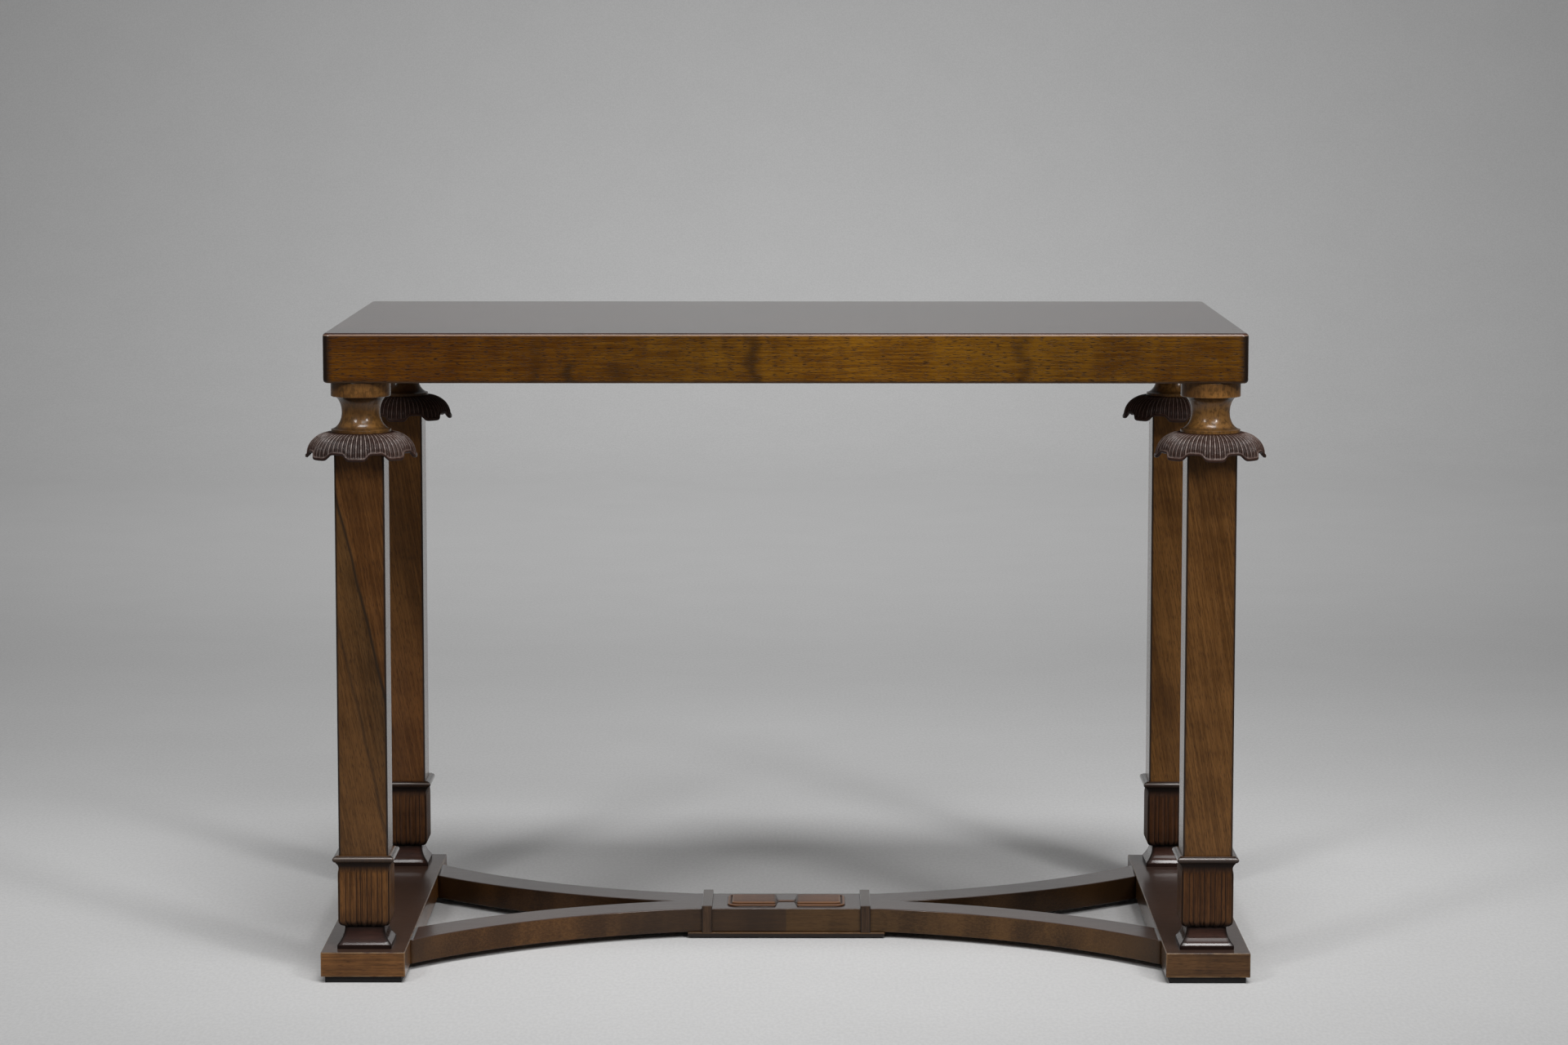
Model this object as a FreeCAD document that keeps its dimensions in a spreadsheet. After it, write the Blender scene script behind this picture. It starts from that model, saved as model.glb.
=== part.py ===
"""Sofa table: a thick lipped top on four capped legs, with two runners and a bowed stretcher.

Millimetres. +Z is up, +X runs along the top, and the front faces -Y.
The origin is on the floor under the middle of the top.
"""
import FreeCAD
import Part
import Sketcher
import math
import os
import re

# Driving sizes in millimetres, and counts
SIZES = {
    # Top
    "table_height": 655,
    "top_length": 920,
    "top_depth": 494,
    "top_thickness": 50,
    "top_edge_round": 3.5,
    "top_corner_round": 7,
    "veneer_thickness": 1.5,
    "lipping_width": 12,
    # Legs and their joints
    "leg_side": 50,
    "leg_edge_round": 1.5,
    "spigot_diameter": 26,
    "spigot_into_top": 30,
    "tenon_side": 26,
    "tenon_into_runner": 15,
    "joint_clearance": 0.2,
    # Capital, and how far its disc stays inside the edge of the top
    "capital_inset_end": 4.75,
    "capital_inset_front": 2.25,
    "capital_height": 51,
    "capital_diameter": 59.8,
    "capital_disc_height": 15,
    "capital_lip_height": 2.2,
    "neck_head_diameter": 51,
    "neck_waist_diameter": 38.4,
    "neck_waist_height": 19.8,
    # Flower collar
    "flower_lobes": 8,
    "flower_height": 25.5,
    "flower_diameter": 112,
    "flower_crown": 8,
    "flower_wall": 3,
    "flower_lobe_lift": 6.2,
    "flower_lobe_reach": 3.2,
    "flower_leg_clearance": 2,
    # Reeded block under the leg
    "block_height": 73.5,
    "block_width": 53,
    "block_foot_round": 6.5,
    "bead_height": 6.6,
    "bead_projection": 2.6,
    "collar_projection": 4.6,
    "cove_height": 7,
    "narrow_reeds": 4,
    "wide_reed_width": 6.5,
    "wide_reed_rise": 1.1,
    "narrow_reed_rise": 0.7,
    "reed_margin": 2,
    # Flared plinth
    "plinth_height": 22,
    "plinth_width": 54.6,
    "plinth_flare": 7.3,
    "plinth_fillet": 4,
    # Runners and soles
    "runner_width": 85,
    "runner_overhang": 16.5,
    "rail_thickness": 25,
    "rail_edge_round": 1,
    "sole_thickness": 6.5,
    "sole_inset": 4,
    # Stretcher
    "arm_width": 44,
    "arm_edge_chamfer": 0.8,
    "arm_spread": 273.6,
    "notch_spacing": 240,
    "middle_depth": 80.4,
    "arm_tenon_length": 25,
    "arm_tenon_width": 30,
    "arm_tenon_height": 10,
    "strap_spacing": 167.4,
    "strap_width": 10.5,
    "strap_thickness": 3.5,
    "tie_plate_length": 208,
    "tie_plate_thickness": 5,
    # Carved ornament
    "ornament_length": 125,
    "ornament_depth": 62,
    "ornament_height": 3.2,
    "ornament_gap": 22,
    "ornament_waist": 10,
    "ornament_corner": 14,
    "ornament_groove_width": 12,
    "ornament_groove_depth": 1.8,
    "ornament_edge_round": 1.2,
    # Screws
    "leg_screw_diameter": 6,
    "leg_screw_length": 55,
    "leg_screw_head_diameter": 14,
    "leg_screw_head_height": 4,
    "plate_screw_diameter": 4,
    "plate_screw_length": 20,
    "plate_screw_head_diameter": 8,
    "plate_screw_head_height": 2.4,
    "plate_screw_spacing_long": 44,
    "plate_screw_inset_long": 18,
    "plate_screw_spacing_deep": 40,
}

ALONG_X = FreeCAD.Vector(1, 0, 0)
ALONG_Y = FreeCAD.Vector(0, 1, 0)
ALONG_Z = FreeCAD.Vector(0, 0, 1)

# Two places closer than this are the same place
TOUCHING = 1e-6

# Points on a flower collar's ring for each lobe, and steps between its rings
LOBE_POINTS = 8
RING_STEPS = 5

# Levels above the floor
RUNNER_TOP = "(sole_thickness + rail_thickness)"
PLINTH_TOP = f"({RUNNER_TOP} + plinth_height)"
BLOCK_TOP = f"({PLINTH_TOP} + block_height)"
BEAD_FOOT = f"({BLOCK_TOP} - bead_height)"
COVE_FOOT = f"({BEAD_FOOT} - cove_height)"
TOP_UNDERSIDE = "(table_height - top_thickness)"
CAPITAL_FOOT = f"({TOP_UNDERSIDE} - capital_height)"
LEG_SHOULDER = f"({CAPITAL_FOOT} - flower_crown)"

# Distances from the middle of the table
LEG_X = "(top_length / 2 - capital_inset_end - capital_diameter / 2)"
LEG_Y = "(top_depth / 2 - capital_inset_front - capital_diameter / 2)"
RUNNER_FACE = f"({LEG_X} - runner_width / 2)"
RUNNER_END = f"({LEG_Y} + plinth_width / 2 + runner_overhang)"

# The two bows are arcs about one point in front of the table and one behind it
ARM_INNER_END = "(arm_spread / 2)"
NOTCH = "(notch_spacing / 2)"
BOW_CENTRE = f"(({ARM_INNER_END}^2 + {RUNNER_FACE}^2 - {NOTCH}^2) / (2 * {ARM_INNER_END}))"
BOW_INNER_RADIUS = f"sqrt({BOW_CENTRE}^2 + {NOTCH}^2)"
BOW_OUTER_RADIUS = f"({BOW_INNER_RADIUS} - arm_width)"
ARM_OUTER_END = f"({BOW_CENTRE} - sqrt({BOW_OUTER_RADIUS}^2 - {RUNNER_FACE}^2))"
ARM_SHOULDER = f"sqrt({BOW_OUTER_RADIUS}^2 - ({BOW_CENTRE} - middle_depth / 2)^2)"
ARM_TENON_Y = f"(({ARM_INNER_END} + {ARM_OUTER_END}) / 2)"

doc = FreeCAD.newDocument("sofa_table")
sheet = doc.addObject("Spreadsheet::Sheet", "Sizes")
for row, (size_name, size) in enumerate(SIZES.items(), start=1):
    sheet.set(f"A{row}", size_name)
    sheet.set(f"B{row}", str(size))
    sheet.setAlias(f"B{row}", size_name)
doc.recompute()


def bound(text):
    """The expression with each size's name pointed at its cell."""
    return re.sub(r"[a-z]\w*", lambda word: f"Sizes.{word[0]}" if word[0] in SIZES else word[0], text)


def value(text):
    """The number that an expression gives."""
    return sheet.evalExpression(bound(text))


def bind(thing, expressions):
    """Tie properties of a thing to expressions."""
    for name, text in expressions.items():
        thing.setExpression(name, bound(text))


def place(thing, x="0", y="0", z="0"):
    """Tie a thing's place to expressions."""
    bind(thing, {"Placement.Base.x": x, "Placement.Base.y": y, "Placement.Base.z": z})
    return thing


# Solids from primitives
def box(name, low, sides):
    """Box from its low corner and its three sides."""
    solid = place(doc.addObject("Part::Box", name), *low)
    bind(solid, dict(zip(("Length", "Width", "Height"), sides)))
    return solid


def cylinder(name, foot, diameter, height):
    """Upright cylinder from the middle of its foot."""
    solid = place(doc.addObject("Part::Cylinder", name), *foot)
    bind(solid, {"Radius": f"{diameter} / 2", "Height": height})
    return solid


def cone(name, foot, foot_diameter, head_diameter, height):
    """Upright cone from the middle of its foot."""
    solid = place(doc.addObject("Part::Cone", name), *foot)
    bind(solid, {"Radius1": f"{foot_diameter} / 2", "Radius2": f"{head_diameter} / 2", "Height": height})
    return solid


def group(name, members):
    """Several solids in one thing."""
    whole = doc.addObject("Part::Compound", name)
    whole.Links = members
    return whole


def fuse(name, members):
    """Several solids joined into one."""
    whole = doc.addObject("Part::MultiFuse", name)
    whole.Shapes = members
    return whole


def shared(name, members):
    """What several solids have in common."""
    core = doc.addObject("Part::MultiCommon", name)
    core.Shapes = members
    return core


def cut(name, base, tools):
    """A solid with tools cut out of it."""
    rest = doc.addObject("Part::Cut", name)
    rest.Base = base
    rest.Tool = tools[0] if len(tools) == 1 else group(f"{name}_cuts", tools)
    return rest


def mirrored(source, name, normal):
    """Mirror image about a plane through the middle of the table."""
    image = doc.addObject("Part::Mirroring", name)
    image.Source = source
    image.Normal = normal
    return image


def four_corners(front_left, piece):
    """The front left piece and its images at the other three corners."""
    front_left.Label = f"front_left_{piece}"
    front_right = mirrored(front_left, f"front_right_{piece}", ALONG_X)
    back_left = mirrored(front_left, f"back_left_{piece}", ALONG_Y)
    back_right = mirrored(front_right, f"back_right_{piece}", ALONG_Y)
    return [front_left, front_right, back_left, back_right]


def left_and_right(left, piece):
    """The left piece and its image on the right."""
    left.Label = f"left_{piece}"
    return [left, mirrored(left, f"right_{piece}", ALONG_X)]


# Outlines, and bodies made from them
def arc_centre(start, end, axis, level):
    """Centre of the circle through two points, from one coordinate of it."""
    middle = (start + end) / 2
    run = end - start
    if axis == "y":
        return FreeCAD.Vector(middle.x - (level - middle.y) * run.y / run.x, level, 0)
    return FreeCAD.Vector(level, middle.y - (level - middle.x) * run.x / run.y, 0)


def hold(sketch, geometry, point, axis, text):
    """Hold one coordinate of a point of a sketch at an expression."""
    distance = Sketcher.Constraint(f"Distance{axis.upper()}", -1, 1, geometry, point, value(text))
    number = sketch.addConstraint(distance)
    sketch.setExpression(f"Constraints[{number}]", bound(text))


def draw_outline(sketch, corners):
    """Closed outline through corners whose x and y are expressions.

    A corner's third item makes the side that leaves it an arc of at most a half circle:
    ("x", text) or ("y", text) gives that coordinate of the arc's centre.
    """
    points = [FreeCAD.Vector(value(corner[0]), value(corner[1]), 0) for corner in corners]
    starts = []
    ends = []
    for corner, start, end in zip(corners, points, points[1:] + points[:1]):
        if len(corner) == 2:
            side = sketch.addGeometry(Part.LineSegment(start, end))
            order = (1, 2)
        else:
            axis, text = corner[2]
            centre = arc_centre(start, end, axis, value(text))
            circle = Part.Circle(centre, ALONG_Z, (start - centre).Length)
            anticlockwise = (start - centre).cross(end - centre).z > 0
            first, last = (start, end) if anticlockwise else (end, start)
            arc = Part.ArcOfCircle(circle, circle.parameter(first), circle.parameter(last))
            side = sketch.addGeometry(arc)
            order = (1, 2) if anticlockwise else (2, 1)
            hold(sketch, side, 3, axis, text)
        starts.append((side, order[0]))
        ends.append((side, order[1]))
    for corner, start, end in zip(corners, starts, ends[-1:] + ends[:-1]):
        sketch.addConstraint(Sketcher.Constraint("Coincident", *end, *start))
        hold(sketch, *start, "x", corner[0])
        hold(sketch, *start, "y", corner[1])


def rectangle(low_x, low_y, high_x, high_y):
    """Corners of a rectangle."""
    return [(low_x, low_y), (high_x, low_y), (high_x, high_y), (low_x, high_y)]


def square(side):
    """Corners of a square about the origin."""
    return rectangle(f"-{side} / 2", f"-{side} / 2", f"{side} / 2", f"{side} / 2")


def sketch_on(body, plane, name, offset="0"):
    """Sketch on one of a body's own planes, moved along the plane's normal."""
    sketch = body.newObject("Sketcher::SketchObject", name)
    support = next(feature for feature in body.Origin.OriginFeatures if feature.Role == plane)
    sketch.AttachmentSupport = [(support, "")]
    sketch.MapMode = "FlatFace"
    bind(sketch, {"AttachmentOffset.Base.z": offset})
    return sketch


def pad(body, sketch, length, downwards=False):
    """Solid raised on a sketch."""
    raised = body.newObject("PartDesign::Pad", f"{sketch.Name}_pad")
    raised.Profile = sketch
    raised.Reversed = downwards
    bind(raised, {"Length": length})
    doc.recompute()


def ease(body, size, chosen, kind="Fillet"):
    """Round, or chamfer, the edges of a body that a test picks."""
    base = body.Tip
    names = [f"Edge{index}" for index, edge in enumerate(base.Shape.Edges, start=1) if chosen(edge)]
    easing = body.newObject(f"PartDesign::{kind}", f"{body.Name}_{len(body.Group)}_easing")
    easing.Base = (base, names)
    bind(easing, {"Radius" if kind == "Fillet" else "Size": size})
    doc.recompute()


def is_upright(edge):
    """True for an edge along Z."""
    return edge.BoundBox.XLength < TOUCHING and edge.BoundBox.YLength < TOUCHING


def is_level(edge):
    """True for an edge that keeps one height."""
    return edge.BoundBox.ZLength < TOUCHING


def eased_board(name, low, sides, radius):
    """Board with all its edges rounded, from its low corner and its three sides."""
    body = doc.addObject("PartDesign::Body", name)
    sketch = sketch_on(body, "XY_Plane", f"{name}_plan", low[2])
    draw_outline(sketch, rectangle(low[0], low[1], f"{low[0]} + {sides[0]}", f"{low[1]} + {sides[1]}"))
    pad(body, sketch, sides[2])
    ease(body, radius, lambda edge: True)
    return body


def both_halves(half):
    """Whole outline from its right half, which is listed from foot to head."""
    outline = list(half)
    for index in range(len(half) - 1, -1, -1):
        x, y = half[index][:2]
        side_below = half[index - 1][2:] if index else ()
        arcs = [(axis, f"-({text})" if axis == "x" else text) for axis, text in side_below]
        outline.append((f"-({x})", y, *arcs))
    return outline


def moulding_runs(name, half, reach):
    """Two straight mouldings of one outline that cross at right angles."""
    runs = []
    for direction, turn in (("deep", 0), ("long", 90)):
        sketch = doc.addObject("Sketcher::SketchObject", f"{name}_{direction}_outline")
        sketch.Placement = FreeCAD.Placement(FreeCAD.Vector(), FreeCAD.Rotation(turn, 0, 90))
        draw_outline(sketch, both_halves(half))
        run = doc.addObject("Part::Extrusion", f"{name}_{direction}_run")
        run.Base = sketch
        run.DirMode = "Normal"
        run.Symmetric = True
        run.Solid = True
        bind(run, {"LengthFwd": reach})
        runs.append(run)
    return runs


# Top
def spigot_bores(name):
    """Bores in the underside of the top for the four leg spigots."""
    bore = cylinder(
        f"{name}_bore",
        (f"-{LEG_X}", f"-{LEG_Y}", TOP_UNDERSIDE),
        "(spigot_diameter + joint_clearance)",
        "(spigot_into_top + joint_clearance)",
    )
    return four_corners(bore, f"{name}_bore")


def make_lipping(side, slab, turn, length, depth):
    """Mitred strip along one side of the top, rounded with the slab."""
    strip = doc.addObject("Part::Wedge", f"{side}_strip")
    strip.Placement = FreeCAD.Placement(FreeCAD.Vector(), FreeCAD.Rotation(ALONG_Z, turn))
    bind(strip, {
        "Xmin": f"-{length} / 2",
        "Xmax": f"{length} / 2",
        "X2min": f"-({length} / 2 - lipping_width)",
        "X2max": f"{length} / 2 - lipping_width",
        "Ymin": f"-{depth} / 2",
        "Ymax": f"-({depth} / 2 - lipping_width)",
    })
    for low, high in (("Zmin", "Zmax"), ("Z2min", "Z2max")):
        bind(strip, {low: f"{TOP_UNDERSIDE} + veneer_thickness", high: "table_height - veneer_thickness"})
    return shared(f"{side}_lipping", [slab, strip])


def make_top():
    """Core, lippings and two veneers, cut from one slab with rounded edges."""
    slab = doc.addObject("PartDesign::Body", "top_slab")
    plan = sketch_on(slab, "XY_Plane", "top_slab_plan", TOP_UNDERSIDE)
    draw_outline(plan, rectangle("-top_length / 2", "-top_depth / 2", "top_length / 2", "top_depth / 2"))
    pad(slab, plan, "top_thickness")
    ease(slab, "top_corner_round", is_upright)
    ease(slab, "top_edge_round", is_level)

    corner = ("-top_length / 2", "-top_depth / 2")
    sheet_sides = ("top_length", "top_depth", "veneer_thickness")
    face = box("top_face_layer", (*corner, "table_height - veneer_thickness"), sheet_sides)
    under = box("top_under_layer", (*corner, TOP_UNDERSIDE), sheet_sides)
    core = box(
        "top_core_board",
        ("-(top_length / 2 - lipping_width)", "-(top_depth / 2 - lipping_width)",
         f"{TOP_UNDERSIDE} + veneer_thickness"),
        ("top_length - 2 * lipping_width", "top_depth - 2 * lipping_width",
         "top_thickness - 2 * veneer_thickness"),
    )
    lippings = [
        make_lipping("front", slab, 0, "top_length", "top_depth"),
        make_lipping("right", slab, 90, "top_depth", "top_length"),
        make_lipping("back", slab, 180, "top_length", "top_depth"),
        make_lipping("left", slab, 270, "top_depth", "top_length"),
    ]
    return [
        cut("top_core", core, spigot_bores("core")),
        shared("top_veneer", [slab, face]),
        cut("underside_veneer", shared("underside_sheet", [slab, under]), spigot_bores("veneer")),
        *lippings,
    ]


# Legs, and what is threaded on them
def make_leg():
    """Square leg with a round spigot above its shoulder and a square tenon below."""
    body = place(doc.addObject("PartDesign::Body", "leg_blank"), f"-{LEG_X}", f"-{LEG_Y}")
    shaft = sketch_on(body, "XY_Plane", "leg_shaft", BLOCK_TOP)
    draw_outline(shaft, square("leg_side"))
    pad(body, shaft, f"{LEG_SHOULDER} - {BLOCK_TOP}")
    ease(body, "leg_edge_round", is_upright)

    spigot = sketch_on(body, "XY_Plane", "leg_spigot", LEG_SHOULDER)
    circle = spigot.addGeometry(Part.Circle(FreeCAD.Vector(), ALONG_Z, value("spigot_diameter / 2")))
    spigot.addConstraint(Sketcher.Constraint("Coincident", circle, 3, -1, 1))
    size = spigot.addConstraint(Sketcher.Constraint("Diameter", circle, value("spigot_diameter")))
    bind(spigot, {f"Constraints[{size}]": "spigot_diameter"})
    pad(body, spigot, "flower_crown + capital_height + spigot_into_top")

    tenon = sketch_on(body, "XY_Plane", "leg_tenon", BLOCK_TOP)
    draw_outline(tenon, square("tenon_side"))
    pad(body, tenon, "block_height + plinth_height + tenon_into_runner", downwards=True)

    pilot = cylinder(
        "leg_screw_pilot",
        (f"-{LEG_X}", f"-{LEG_Y}", f"{RUNNER_TOP} - tenon_into_runner"),
        "(leg_screw_diameter + joint_clearance)",
        "leg_screw_length",
    )
    return cut("front_left_leg", body, [pilot])


def make_capital():
    """Turned disc, hollow neck and lip, bored for the leg's spigot."""
    body = place(doc.addObject("PartDesign::Body", "front_left_capital"), f"-{LEG_X}", f"-{LEG_Y}", CAPITAL_FOOT)
    outline = sketch_on(body, "XZ_Plane", "capital_outline")
    bore = "(spigot_diameter + joint_clearance) / 2"
    rim = "capital_diameter / 2"
    disc_foot = "capital_height - capital_disc_height"
    draw_outline(outline, [
        (bore, "0"),
        (rim, "0"),
        (rim, "capital_lip_height", ("y", "neck_waist_height")),
        ("neck_waist_diameter / 2", "neck_waist_height", ("y", "neck_waist_height")),
        ("neck_head_diameter / 2", disc_foot),
        (rim, disc_foot),
        (rim, "capital_height"),
        (bore, "capital_height"),
    ])
    turning = body.newObject("PartDesign::Revolution", "capital_turning")
    turning.Profile = outline
    turning.ReferenceAxis = (outline, ["V_Axis"])
    turning.Angle = 360
    return body


def petal_ring(radius, level):
    """Closed smooth wire round the axis, with its radius and level as functions of the angle."""
    steps = LOBE_POINTS * int(value("flower_lobes"))
    angles = [2 * math.pi * step / steps for step in range(steps)]
    points = [
        FreeCAD.Vector(radius(angle) * math.cos(angle), radius(angle) * math.sin(angle), level(angle))
        for angle in angles
    ]
    curve = Part.BSplineCurve()
    curve.interpolate(Points=points, PeriodicFlag=True)
    return Part.Wire(curve.toShape())


def make_flower_collar():
    """Hollow dome of petals under the capital: quarter ellipses down to a rim that dips at each lobe."""
    lobes = int(value("flower_lobes"))
    crown = value("flower_crown")
    top_radius = value("capital_diameter / 2")
    hollow_radius = value("leg_side * sqrt(2) / 2 + flower_leg_clearance")
    bore_radius = value("(spigot_diameter + joint_clearance) / 2")
    lobe_radius = value("flower_diameter / 2")
    lobe_drop = value("flower_height")
    reach = value("flower_lobe_reach")
    lift = value("flower_lobe_lift")

    def notch(angle):
        return (1 - math.cos(lobes * angle)) / 2

    def rim_radius(angle):
        return lobe_radius - reach * notch(angle)

    def rim_drop(angle):
        return lobe_drop - lift * notch(angle)

    def skin(start_radius, start_drop, wall):
        rings = []
        for step in range(RING_STEPS + 1):
            turn = math.pi / 2 * step / RING_STEPS
            out = math.sin(turn)
            down = 1 - math.cos(turn)
            rings.append(petal_ring(
                lambda angle: start_radius + (rim_radius(angle) - wall - start_radius) * out,
                lambda angle: -start_drop - (rim_drop(angle) - start_drop) * down,
            ))
        return rings

    outer = skin(top_radius, 0, 0)
    inner = skin(hollow_radius, crown, value("flower_wall"))
    bore = [
        Part.Wire(Part.makeCircle(bore_radius, FreeCAD.Vector(0, 0, level), ALONG_Z)) for level in (0, -crown)
    ]
    faces = [
        *Part.makeLoft(outer, False, False).Faces,
        *Part.makeLoft(inner, False, False).Faces,
        *Part.makeLoft([outer[-1], inner[-1]], False, True).Faces,
        *Part.makeLoft(bore, False, True).Faces,
        Part.makeFace([outer[0], bore[0]], "Part::FaceMakerBullseye"),
        Part.makeFace([inner[0], bore[1]], "Part::FaceMakerBullseye"),
    ]
    skins = Part.makeCompound(faces)
    skins.sewShape()
    solid = Part.Solid(skins.Shells[0])
    if solid.Volume < 0:
        solid.reverse()
    collar = doc.addObject("Part::Feature", "front_left_flower_collar")
    collar.Shape = solid
    return place(collar, f"-{LEG_X}", f"-{LEG_Y}", CAPITAL_FOOT)


def reeded_prism():
    """Square prism whose sides carry wide and narrow reeds in turn."""
    half = value("block_width / 2")
    valley = half - value("wide_reed_rise")
    reeds = int(value("narrow_reeds"))
    wide = value("wide_reed_width")
    narrow = (2 * (half - value("reed_margin")) - (reeds + 1) * wide) / reeds
    edges = []
    for quarter in range(4):
        turn = FreeCAD.Rotation(ALONG_Z, 90 * quarter)

        def point(x, rise):
            return turn.multVec(FreeCAD.Vector(x, -valley - rise, value(PLINTH_TOP)))

        start = value("reed_margin") - half
        edges.append(Part.LineSegment(point(-valley, 0), point(start, 0)).toShape())
        for reed in range(2 * reeds + 1):
            is_narrow = reed % 2 == 1
            width = narrow if is_narrow else wide
            rise = value("narrow_reed_rise" if is_narrow else "wide_reed_rise")
            arc = Part.Arc(point(start, 0), point(start + width / 2, rise), point(start + width, 0))
            edges.append(arc.toShape())
            start += width
        edges.append(Part.LineSegment(point(start, 0), point(valley, 0)).toShape())
    prism = doc.addObject("Part::Feature", "reeded_prism")
    prism.Shape = Part.Face(Part.Wire(edges)).extrude(ALONG_Z * value(f"{COVE_FOOT} - {PLINTH_TOP}"))
    return prism


def make_reeded_block():
    """Reeded block with a rounded foot, under a cove and a bead, mortised for the leg's tenon."""
    face = "block_width / 2"
    foot_half = [
        (f"{face} - block_foot_round", PLINTH_TOP, ("y", f"{PLINTH_TOP} + block_foot_round")),
        (face, f"{PLINTH_TOP} + block_foot_round"),
        (face, COVE_FOOT),
    ]
    bead_face = f"({face} + collar_projection - bead_projection)"
    bead_radius = "((bead_height^2 / 4 + bead_projection^2) / (2 * bead_projection))"
    collar_half = [
        (face, COVE_FOOT, ("y", COVE_FOOT)),
        (bead_face, BEAD_FOOT, ("x", f"{bead_face} + bead_projection - {bead_radius}")),
        (bead_face, BLOCK_TOP),
    ]
    reach = "2 * (block_width + collar_projection)"
    reeds = shared("reeded_shaft", [reeded_prism(), *moulding_runs("block_foot", foot_half, reach)])
    collar = shared("bead_collar", moulding_runs("bead_collar", collar_half, reach))
    mortise = leg_mortise("block", PLINTH_TOP, "block_height")
    block = cut("front_left_reeded_block", fuse("block_blank", [reeds, collar]), [mortise])
    return place(block, f"-{LEG_X}", f"-{LEG_Y}")


def leg_mortise(name, foot, depth):
    """Square hole for a leg's tenon, about the leg's axis."""
    side = "(tenon_side + joint_clearance)"
    return box(f"{name}_mortise", (f"-{side} / 2", f"-{side} / 2", foot), (side, side, depth))


def make_flared_plinth():
    """Hollow-sided plinth with a square edge, mortised for the leg's tenon."""
    half = [
        ("plinth_width / 2", RUNNER_TOP),
        ("plinth_width / 2", f"{RUNNER_TOP} + plinth_fillet", ("y", PLINTH_TOP)),
        ("plinth_width / 2 - plinth_flare", PLINTH_TOP),
    ]
    blank = shared("plinth_blank", moulding_runs("plinth", half, "2 * plinth_width"))
    plinth = cut("front_left_flared_plinth", blank, [leg_mortise("plinth", RUNNER_TOP, "plinth_height")])
    return place(plinth, f"-{LEG_X}", f"-{LEG_Y}")


# Runners and their soles
def make_runner():
    """Left runner with mortises for two legs and two arms, and holes for the leg screws."""
    blank = eased_board(
        "runner_blank",
        (f"-({LEG_X} + runner_width / 2)", f"-{RUNNER_END}", "sole_thickness"),
        ("runner_width", f"2 * {RUNNER_END}", "rail_thickness"),
        "rail_edge_round",
    )
    cuts = []
    for end, sign in (("front", "-"), ("back", "")):
        leg_axis = (f"-{LEG_X}", f"{sign}{LEG_Y}")
        depth = "(tenon_into_runner + joint_clearance)"
        mortise = leg_mortise(f"{end}_runner", f"{RUNNER_TOP} - {depth}", depth)
        cuts.append(group(f"{end}_leg_mortise", [mortise]))
        place(cuts[-1], *leg_axis)
        cuts.append(cylinder(
            f"{end}_leg_screw_hole", (*leg_axis, "sole_thickness"),
            "(leg_screw_diameter + joint_clearance)", "rail_thickness",
        ))
        cuts.append(cylinder(
            f"{end}_leg_screw_recess", (*leg_axis, "sole_thickness"),
            "(leg_screw_head_diameter + joint_clearance)", "(leg_screw_head_height + joint_clearance)",
        ))
        width = "(arm_tenon_width + joint_clearance)"
        height = "(arm_tenon_height + joint_clearance)"
        length = "(arm_tenon_length + joint_clearance)"
        cuts.append(box(
            f"{end}_arm_mortise",
            (f"-({RUNNER_FACE} + {length})", f"{sign}{ARM_TENON_Y} - {width} / 2",
             f"sole_thickness + (rail_thickness - {height}) / 2"),
            (length, width, height),
        ))
    return cut("left_runner", blank, cuts)


def make_sole():
    """Black strip under the left runner, set in from its edges."""
    return box(
        "left_runner_sole",
        (f"-({LEG_X} + runner_width / 2 - sole_inset)", f"-({RUNNER_END} - sole_inset)", "0"),
        ("runner_width - 2 * sole_inset", f"2 * ({RUNNER_END} - sole_inset)", "sole_thickness"),
    )


# Stretcher
def plate_screw_places():
    """Where the two tie plate screws of the front left arm stand."""
    y = "-plate_screw_spacing_deep / 2"
    return [("-plate_screw_inset_long", y), ("-(plate_screw_inset_long + plate_screw_spacing_long)", y)]


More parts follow.
